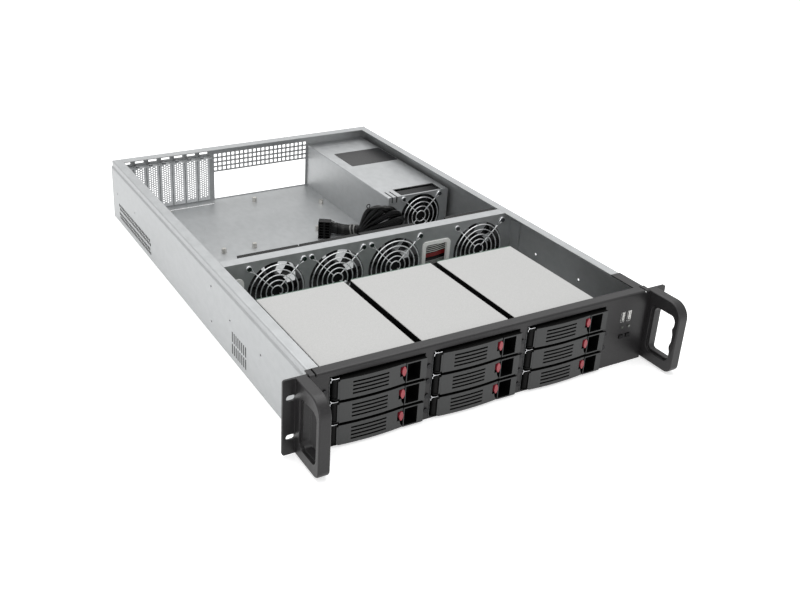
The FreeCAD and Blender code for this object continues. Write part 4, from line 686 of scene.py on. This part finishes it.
# %% Pierced slot covers
def pierced_sheet(name, outline, holes, thickness, edge=0.0):
    """Flat sheet in the XY plane, filled between an outline and its holes."""
    curve = bpy.data.curves.new(name, "CURVE")
    curve.dimensions = "2D"
    curve.fill_mode = "BOTH"
    curve.extrude = thickness / 2 - edge
    curve.bevel_depth = edge
    curve.bevel_resolution = 1
    curve.use_fill_caps = True
    for points in [outline] + holes:
        spline = curve.splines.new("POLY")
        spline.points.add(len(points) - 1)
        for point, at in zip(spline.points, points):
            point.co = (*at, 0, 1)
        spline.use_cyclic_u = True
    temporary = bpy.data.objects.new(name, curve)
    mesh = bpy.data.meshes.new_from_object(temporary)
    bpy.data.objects.remove(temporary)
    bpy.data.curves.remove(curve)
    return mesh


def ring_points(x, y, radius, count):
    """Corners of a regular polygon that stands for a circle."""
    turns = [index * math.tau / count for index in range(count)]
    return [(x + radius * math.cos(turn), y + radius * math.sin(turn)) for turn in turns]


COVER_LOW, COVER_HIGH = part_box("slot_covers")
COVER_W = 18.4 * MM
COVER_T = 0.9 * MM
COVER_TAB = COVER_HIGH.y - COVER_LOW.y
TAB_EDGE = 0.2 * MM
NOTCH_AT = (-0.28 * COVER_W, 0.3 * COVER_TAB)
NOTCH_R = 1.7 * MM
NOTCH_SIDES = 12
SLOT_PITCH = 20.32 * MM
SLOT_COUNT = 7
HOLE_R = 1.25 * MM
HOLE_SIDES = 10
HOLE_COLUMNS = 4
HOLE_ROWS = 17
HOLE_STEP = (3.5 * MM, 3.6 * MM)
UPRIGHT = Matrix.Rotation(math.radians(90), 4, "X")

cover_height = COVER_HIGH.z - COVER_LOW.z
covers = bmesh.new()
for slot_index in range(SLOT_COUNT):
    x = COVER_LOW.x + COVER_W / 2 + slot_index * SLOT_PITCH
    outline = [(-COVER_W / 2, 0), (COVER_W / 2, 0), (COVER_W / 2, cover_height), (-COVER_W / 2, cover_height)]
    holes = []
    for column in range(HOLE_COLUMNS):
        stagger = 0.5 if column % 2 else 0.0
        for row in range(HOLE_ROWS):
            height = cover_height / 2 + (row - (HOLE_ROWS - 0.5) / 2 + stagger) * HOLE_STEP[1]
            across = (column - (HOLE_COLUMNS - 1) / 2) * HOLE_STEP[0]
            holes.append(ring_points(across, height, HOLE_R, HOLE_SIDES))
    strip = pierced_sheet("slot_cover", outline, holes, COVER_T)
    strip.transform(Matrix.Translation((x, COVER_HIGH.y - COVER_T / 2, COVER_LOW.z)) @ UPRIGHT)
    covers.from_mesh(strip)
    tab_outline = [(-COVER_W / 2, 0), (COVER_W / 2, 0), (COVER_W / 2, COVER_TAB), (-COVER_W / 2, COVER_TAB)]
    notch = ring_points(*NOTCH_AT, NOTCH_R, NOTCH_SIDES)
    tab = pierced_sheet("slot_tab", tab_outline, [notch], COVER_T, TAB_EDGE)
    tab.transform(Matrix.Translation((x, COVER_LOW.y, COVER_HIGH.z - COVER_T / 2)))
    covers.from_mesh(tab)
cover_mesh = bpy.data.meshes.new("slot_covers_pierced")
covers.to_mesh(cover_mesh)
covers.free()
cover_zinc, tree, shader = finish_named("steel_electroplated_zinc_bright", "#DFE1E2", 0.6, 0.34)
mottle(tree, shader, SPANGLE_MM, ("#DADCDD", "#E4E6E7"), (0.3, 0.38))
cover_piece = piece("slot_covers_pierced", cover_mesh, cover_zinc)
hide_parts("slot_covers")
print("seven covers with", SLOT_COUNT * HOLE_COLUMNS * HOLE_ROWS, "holes")

# %% [markdown]
# ## Behind the openings
# The side vents look black although the lid is off: a thin black sheet behind each of them is painted shade,
# matt and near black. The supply carries a dark plate on its top, left bare here.
# Both are thin sheets with rounded corners, made by the same filled curve.

# %% Painted shade sheets and plate
CORNER_STEPS = 4


def rounded_outline(wide, high, radius):
    """Corner points of a rectangle with rounded corners, its lower left corner at the origin."""
    points = []
    for quarter, (x, y) in enumerate(((wide - radius, radius), (wide - radius, high - radius),
                                      (radius, high - radius), (radius, radius))):
        for step in range(CORNER_STEPS + 1):
            turn = (quarter - 1 + step / CORNER_STEPS) * math.pi / 2
            points.append((x + radius * math.cos(turn), y + radius * math.sin(turn)))
    return points


FIBRE_MM = 0.6
# finish of the fan foam; the same finish is the painted shade behind the side vents
felt_and_painted_shade, tree, shader = finish_named("polyester_felt_black_and_painted_shade", "#0D0D0D", 0.0, 0.85)
mottle(tree, shader, FIBRE_MM, ("#090909", "#131313"), (0.8, 0.9), 0.3)
WALL_INSIDE = -215.0 * MM
# Name, then y and z of the lower corner, width and height; in millimetres
SHADE_SHEETS = (("shade_sheet_front", 142.0, 6.0, 47.0, 34.0), ("shade_sheet_rear", 467.0, 6.0, 152.0, 28.0))
SHADE_SHEET_T = 0.4 * MM
SHADE_SHEET_OFF = 0.6 * SHADE_SHEET_T
SHADE_SHEET_ROUND = 3 * MM
ON_WALL = Matrix(((0, 0, 1), (1, 0, 0), (0, 1, 0))).to_4x4()
# painted shade: a thin black sheet behind each side vent
for name, y, z, wide, high in SHADE_SHEETS:
    sheet_mesh = pierced_sheet(name, rounded_outline(wide * MM, high * MM, SHADE_SHEET_ROUND), [], SHADE_SHEET_T)
    sheet_mesh.transform(Matrix.Translation((WALL_INSIDE + SHADE_SHEET_OFF, y * MM, z * MM)) @ ON_WALL)
    piece(name, sheet_mesh, felt_and_painted_shade)

plate_coat, tree, shader = finish_named("steel_plate_black_lacquer", "#161617", 0.0, 0.4)
mottle(tree, shader, GRAIN_MM, ("#131314", "#1B1B1C"), (0.34, 0.46), 0.05)
SUPPLY_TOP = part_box("psu_case")[1].z
PLATE_T = 0.3 * MM
PLATE_AT = (124.0 * MM, 521.5 * MM)
PLATE_SIZE = (81 * MM, 60 * MM)
PLATE_ROUND = 2 * MM
plate_mesh = pierced_sheet("supply_plate", rounded_outline(*PLATE_SIZE, PLATE_ROUND), [], PLATE_T)
plate_mesh.transform(Matrix.Translation((*PLATE_AT, SUPPLY_TOP + PLATE_T / 2)))
piece("supply_plate", plate_mesh, plate_coat)
print("two sheets of painted shade and a plate on the supply at", round(SUPPLY_TOP / MM, 1), "mm")

# %% [markdown]
# ## Hinge springs and shielding strips
# Each bezel is thrown open by a little spring of bright wire at its hinge. One leg lies on the hinge's ear
# and the other bears on the opening's edge, so the wire shows as a small letter Y. It rides on its tray. A
# thin springy strip of blued steel runs down the left edge of each column of openings and shields the bays:
# its many small fingers catch the light as a broken line.

# %% Hinge springs and shielding strips
SPRING_WIRE = 0.8 * MM
SPRING_Y = -7.4 * MM
# Offsets from the top of the hinge in millimetres: the long leg, and the two short ones of the letter's fork
SPRING_RUNS = (((1.6, 0, 0.5), (4.0, -0.8, 0.5), (8.4, -0.8, 0.5)),
               ((1.6, 0, 0.5), (-0.1, 0.2, 2.4)),
               ((1.6, 0, 0.5), (0.0, 0.2, -1.2), (0.0, 0.2, -3.0)))
STRIP_WIRE = 0.6 * MM
STRIP_OUT = 1.3 * MM
STRIP_LEAN = 0.25 * MM
FINGER = 2.2 * MM
PANEL_FACE = -6.5 * MM
for column in ("left", "centre", "right"):
    for row in ("bottom", "middle", "top"):
        name = "%s_%s" % (column, row)
        low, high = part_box("tray_" + name)
        hinge = Vector((low.x, SPRING_Y, high.z))
        runs = [[hinge + Vector(offset) * MM for offset in run] for run in SPRING_RUNS]
        piece("hinge_spring_" + name, wire_mesh("hinge_spring", runs, SPRING_WIRE), spring_steel,
              "tray_" + name)
    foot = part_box("tray_%s_bottom" % column)[0]
    line = []
    for index in range(int((high.z - foot.z) / FINGER)):
        lean = STRIP_LEAN if index % 2 else 0.0
        line.append((foot.x - STRIP_OUT + lean, PANEL_FACE - STRIP_WIRE / 2, foot.z + index * FINGER))
    piece("shield_strip_" + column, wire_mesh("shield_strip", [line], STRIP_WIRE), strip_steel)
print("nine springs and three strips of", len(line), "fingers")

# %% [markdown]
# ## Fan leads and foam
# Behind the right opening of the fan wall the fans' leads cross from one housing to the next: white, red and
# grey wires in a loose row, with black ones behind. They are drawn with the same round wire as the guards. A
# strip of black foam on each fan housing seals it against the lid.

# %% Fan leads and foam
# Name, colour, thickness, y and heights; then, for each point of a lead, its x and what it adds to y and z
LEAD_SETS = (("white", "#DADAD6", 1.1, 250.0, (58.0, 55.4, 52.8, 50.2)),
             ("red", "#8A1A18", 1.6, 250.4, (47.4, 45.6, 43.8)),
             ("grey", "#8C8C8A", 1.6, 250.4, (37.0, 35.0, 33.0)),
             ("black", "#0A0A0A", 3.0, 254.0, [16.0 + 3.0 * index for index in range(17)]))
LEAD_WAY = ((71.8, 1.0, -1.5), (96.0, -1.0, 0.0), (120.2, 1.0, 2.0))

for name, colour, thick, y, heights in LEAD_SETS:
    coat, tree, shader = finish_named("pvc_extruded_thin_" + name, colour, 0.0, 0.36)
    mottle(tree, shader, SLEEVE_MM, (colour, colour), (0.3, 0.42))
    runs = [[(x * MM, (y + bend) * MM, (height + rise) * MM) for x, bend, rise in LEAD_WAY]
            for height in heights]
    piece("fan_leads_" + name, wire_mesh("fan_leads", runs, thick * MM), coat)

FOAM_T = 2.0 * MM
FOAM_DEEP = 8.0 * MM
FOAM_ROUND = 1 * MM
FRAME_HALF = 40.0 * MM
frames_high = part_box("fan_frames")[1]
for number, x in enumerate(FAN_XS, start=1):
    foam_mesh = pierced_sheet("fan_foam", rounded_outline(2 * FRAME_HALF, FOAM_DEEP, FOAM_ROUND), [], FOAM_T)
    foam_mesh.transform(Matrix.Translation((x - FRAME_HALF, frames_high.y - FOAM_DEEP,
                                            frames_high.z + FOAM_T / 2)))
    piece("fan_foam_%d" % number, foam_mesh, felt_and_painted_shade)
print(sum(len(leads_of_set[-1]) for leads_of_set in LEAD_SETS), "fan leads, four foam strips")

# %% [markdown]
# ## Floor
# The set is a white table under a pale sky. The floor is near white by itself, and a little glow that only
# the camera sees lifts it to the page's white, while the shadow stays. Metal and glass mirror what the camera
# would see, so their rays get that white too.

# %% Floor and sky
FLOOR_HALF = 9.0
FLOOR_GAP = 0.2 * MM
FLOOR_LIFT = 0.56
SKY_LIGHT = 0.55
SKY_SEEN = 1.0


def seen_directly(tree):
    """One for rays from the camera, and for those that metal or glass sends on; nought for light."""
    path = add(tree, "ShaderNodeLightPath")
    shiny = add(tree, "ShaderNodeMath", {0: path.outputs["Is Camera Ray"], 1: path.outputs["Is Glossy Ray"]},
                operation="MAXIMUM")
    return add(tree, "ShaderNodeMath", {0: shiny.outputs["Value"], 1: path.outputs["Is Transmission Ray"]},
               operation="MAXIMUM").outputs["Value"]


floor_mesh = bpy.data.meshes.new("floor")
sheet = bmesh.new()
bmesh.ops.create_grid(sheet, x_segments=2, y_segments=2, size=FLOOR_HALF)
sheet.to_mesh(floor_mesh)
sheet.free()
floor = bpy.data.objects.new("floor", floor_mesh)
floor.location.z = solid_box[0][2] - FLOOR_GAP
scene.collection.objects.link(floor)
table_white, tree, shader = finish_named("laminate_white_matt", "#E6E6E6", 0.0, 0.7)
lift = add(tree, "ShaderNodeMath", {0: seen_directly(tree), 1: FLOOR_LIFT}, operation="MULTIPLY")
glow = add(tree, "ShaderNodeEmission", {"Color": linear("#FFFFFF"), "Strength": lift.outputs["Value"]})
both = add(tree, "ShaderNodeAddShader", {0: shader.outputs["BSDF"], 1: glow.outputs["Emission"]})
tree.links.new(both.outputs["Shader"], tree.nodes["Material Output"].inputs["Surface"])
floor_mesh.materials.append(table_white)

world = bpy.data.worlds.new("studio")
world.use_nodes = True
scene.world = world
tree = world.node_tree
sky = tree.nodes["Background"]
sky.inputs["Color"].default_value = linear("#FFFFFF")
brightness = add(tree, "ShaderNodeMapRange", {"Value": seen_directly(tree), "To Min": SKY_LIGHT,
                                              "To Max": SKY_SEEN})
tree.links.new(brightness.outputs["Result"], sky.inputs["Strength"])
print("floor at", round(floor.location.z / MM, 1), "mm, sky", SKY_LIGHT)

# %% [markdown]
# ## Light
# One large soft box hangs over the case and does most of the work. Two weak ones fill the left side and the
# front, so that the black parts keep their edges.

# %% Light
def soft_box(name, at, target, size, power):
    """Large rectangular lamp aimed at a point."""
    data = bpy.data.lights.new(name, "AREA")
    data.shape = "RECTANGLE"
    data.size = size[0]
    data.size_y = size[1]
    data.energy = power
    lamp_object = bpy.data.objects.new(name, data)
    lamp_object.location = at
    aim = Vector(target) - Vector(at)
    lamp_object.rotation_euler = aim.to_track_quat("-Z", "Y").to_euler()
    scene.collection.objects.link(lamp_object)


MIDDLE = (0.0, 0.3, 0.05)
FRONT = (0.0, 0.0, 0.05)
soft_box("soft_box_top", (0.1, 0.6, 1.9), MIDDLE, (2.2, 2.2), 40)
soft_box("soft_box_left", (-1.7, -0.5, 0.9), MIDDLE, (1.2, 1.6), 2)
soft_box("soft_box_front", (-0.7, -1.3, 0.6), FRONT, (0.9, 0.6), 5)
print("three soft boxes")
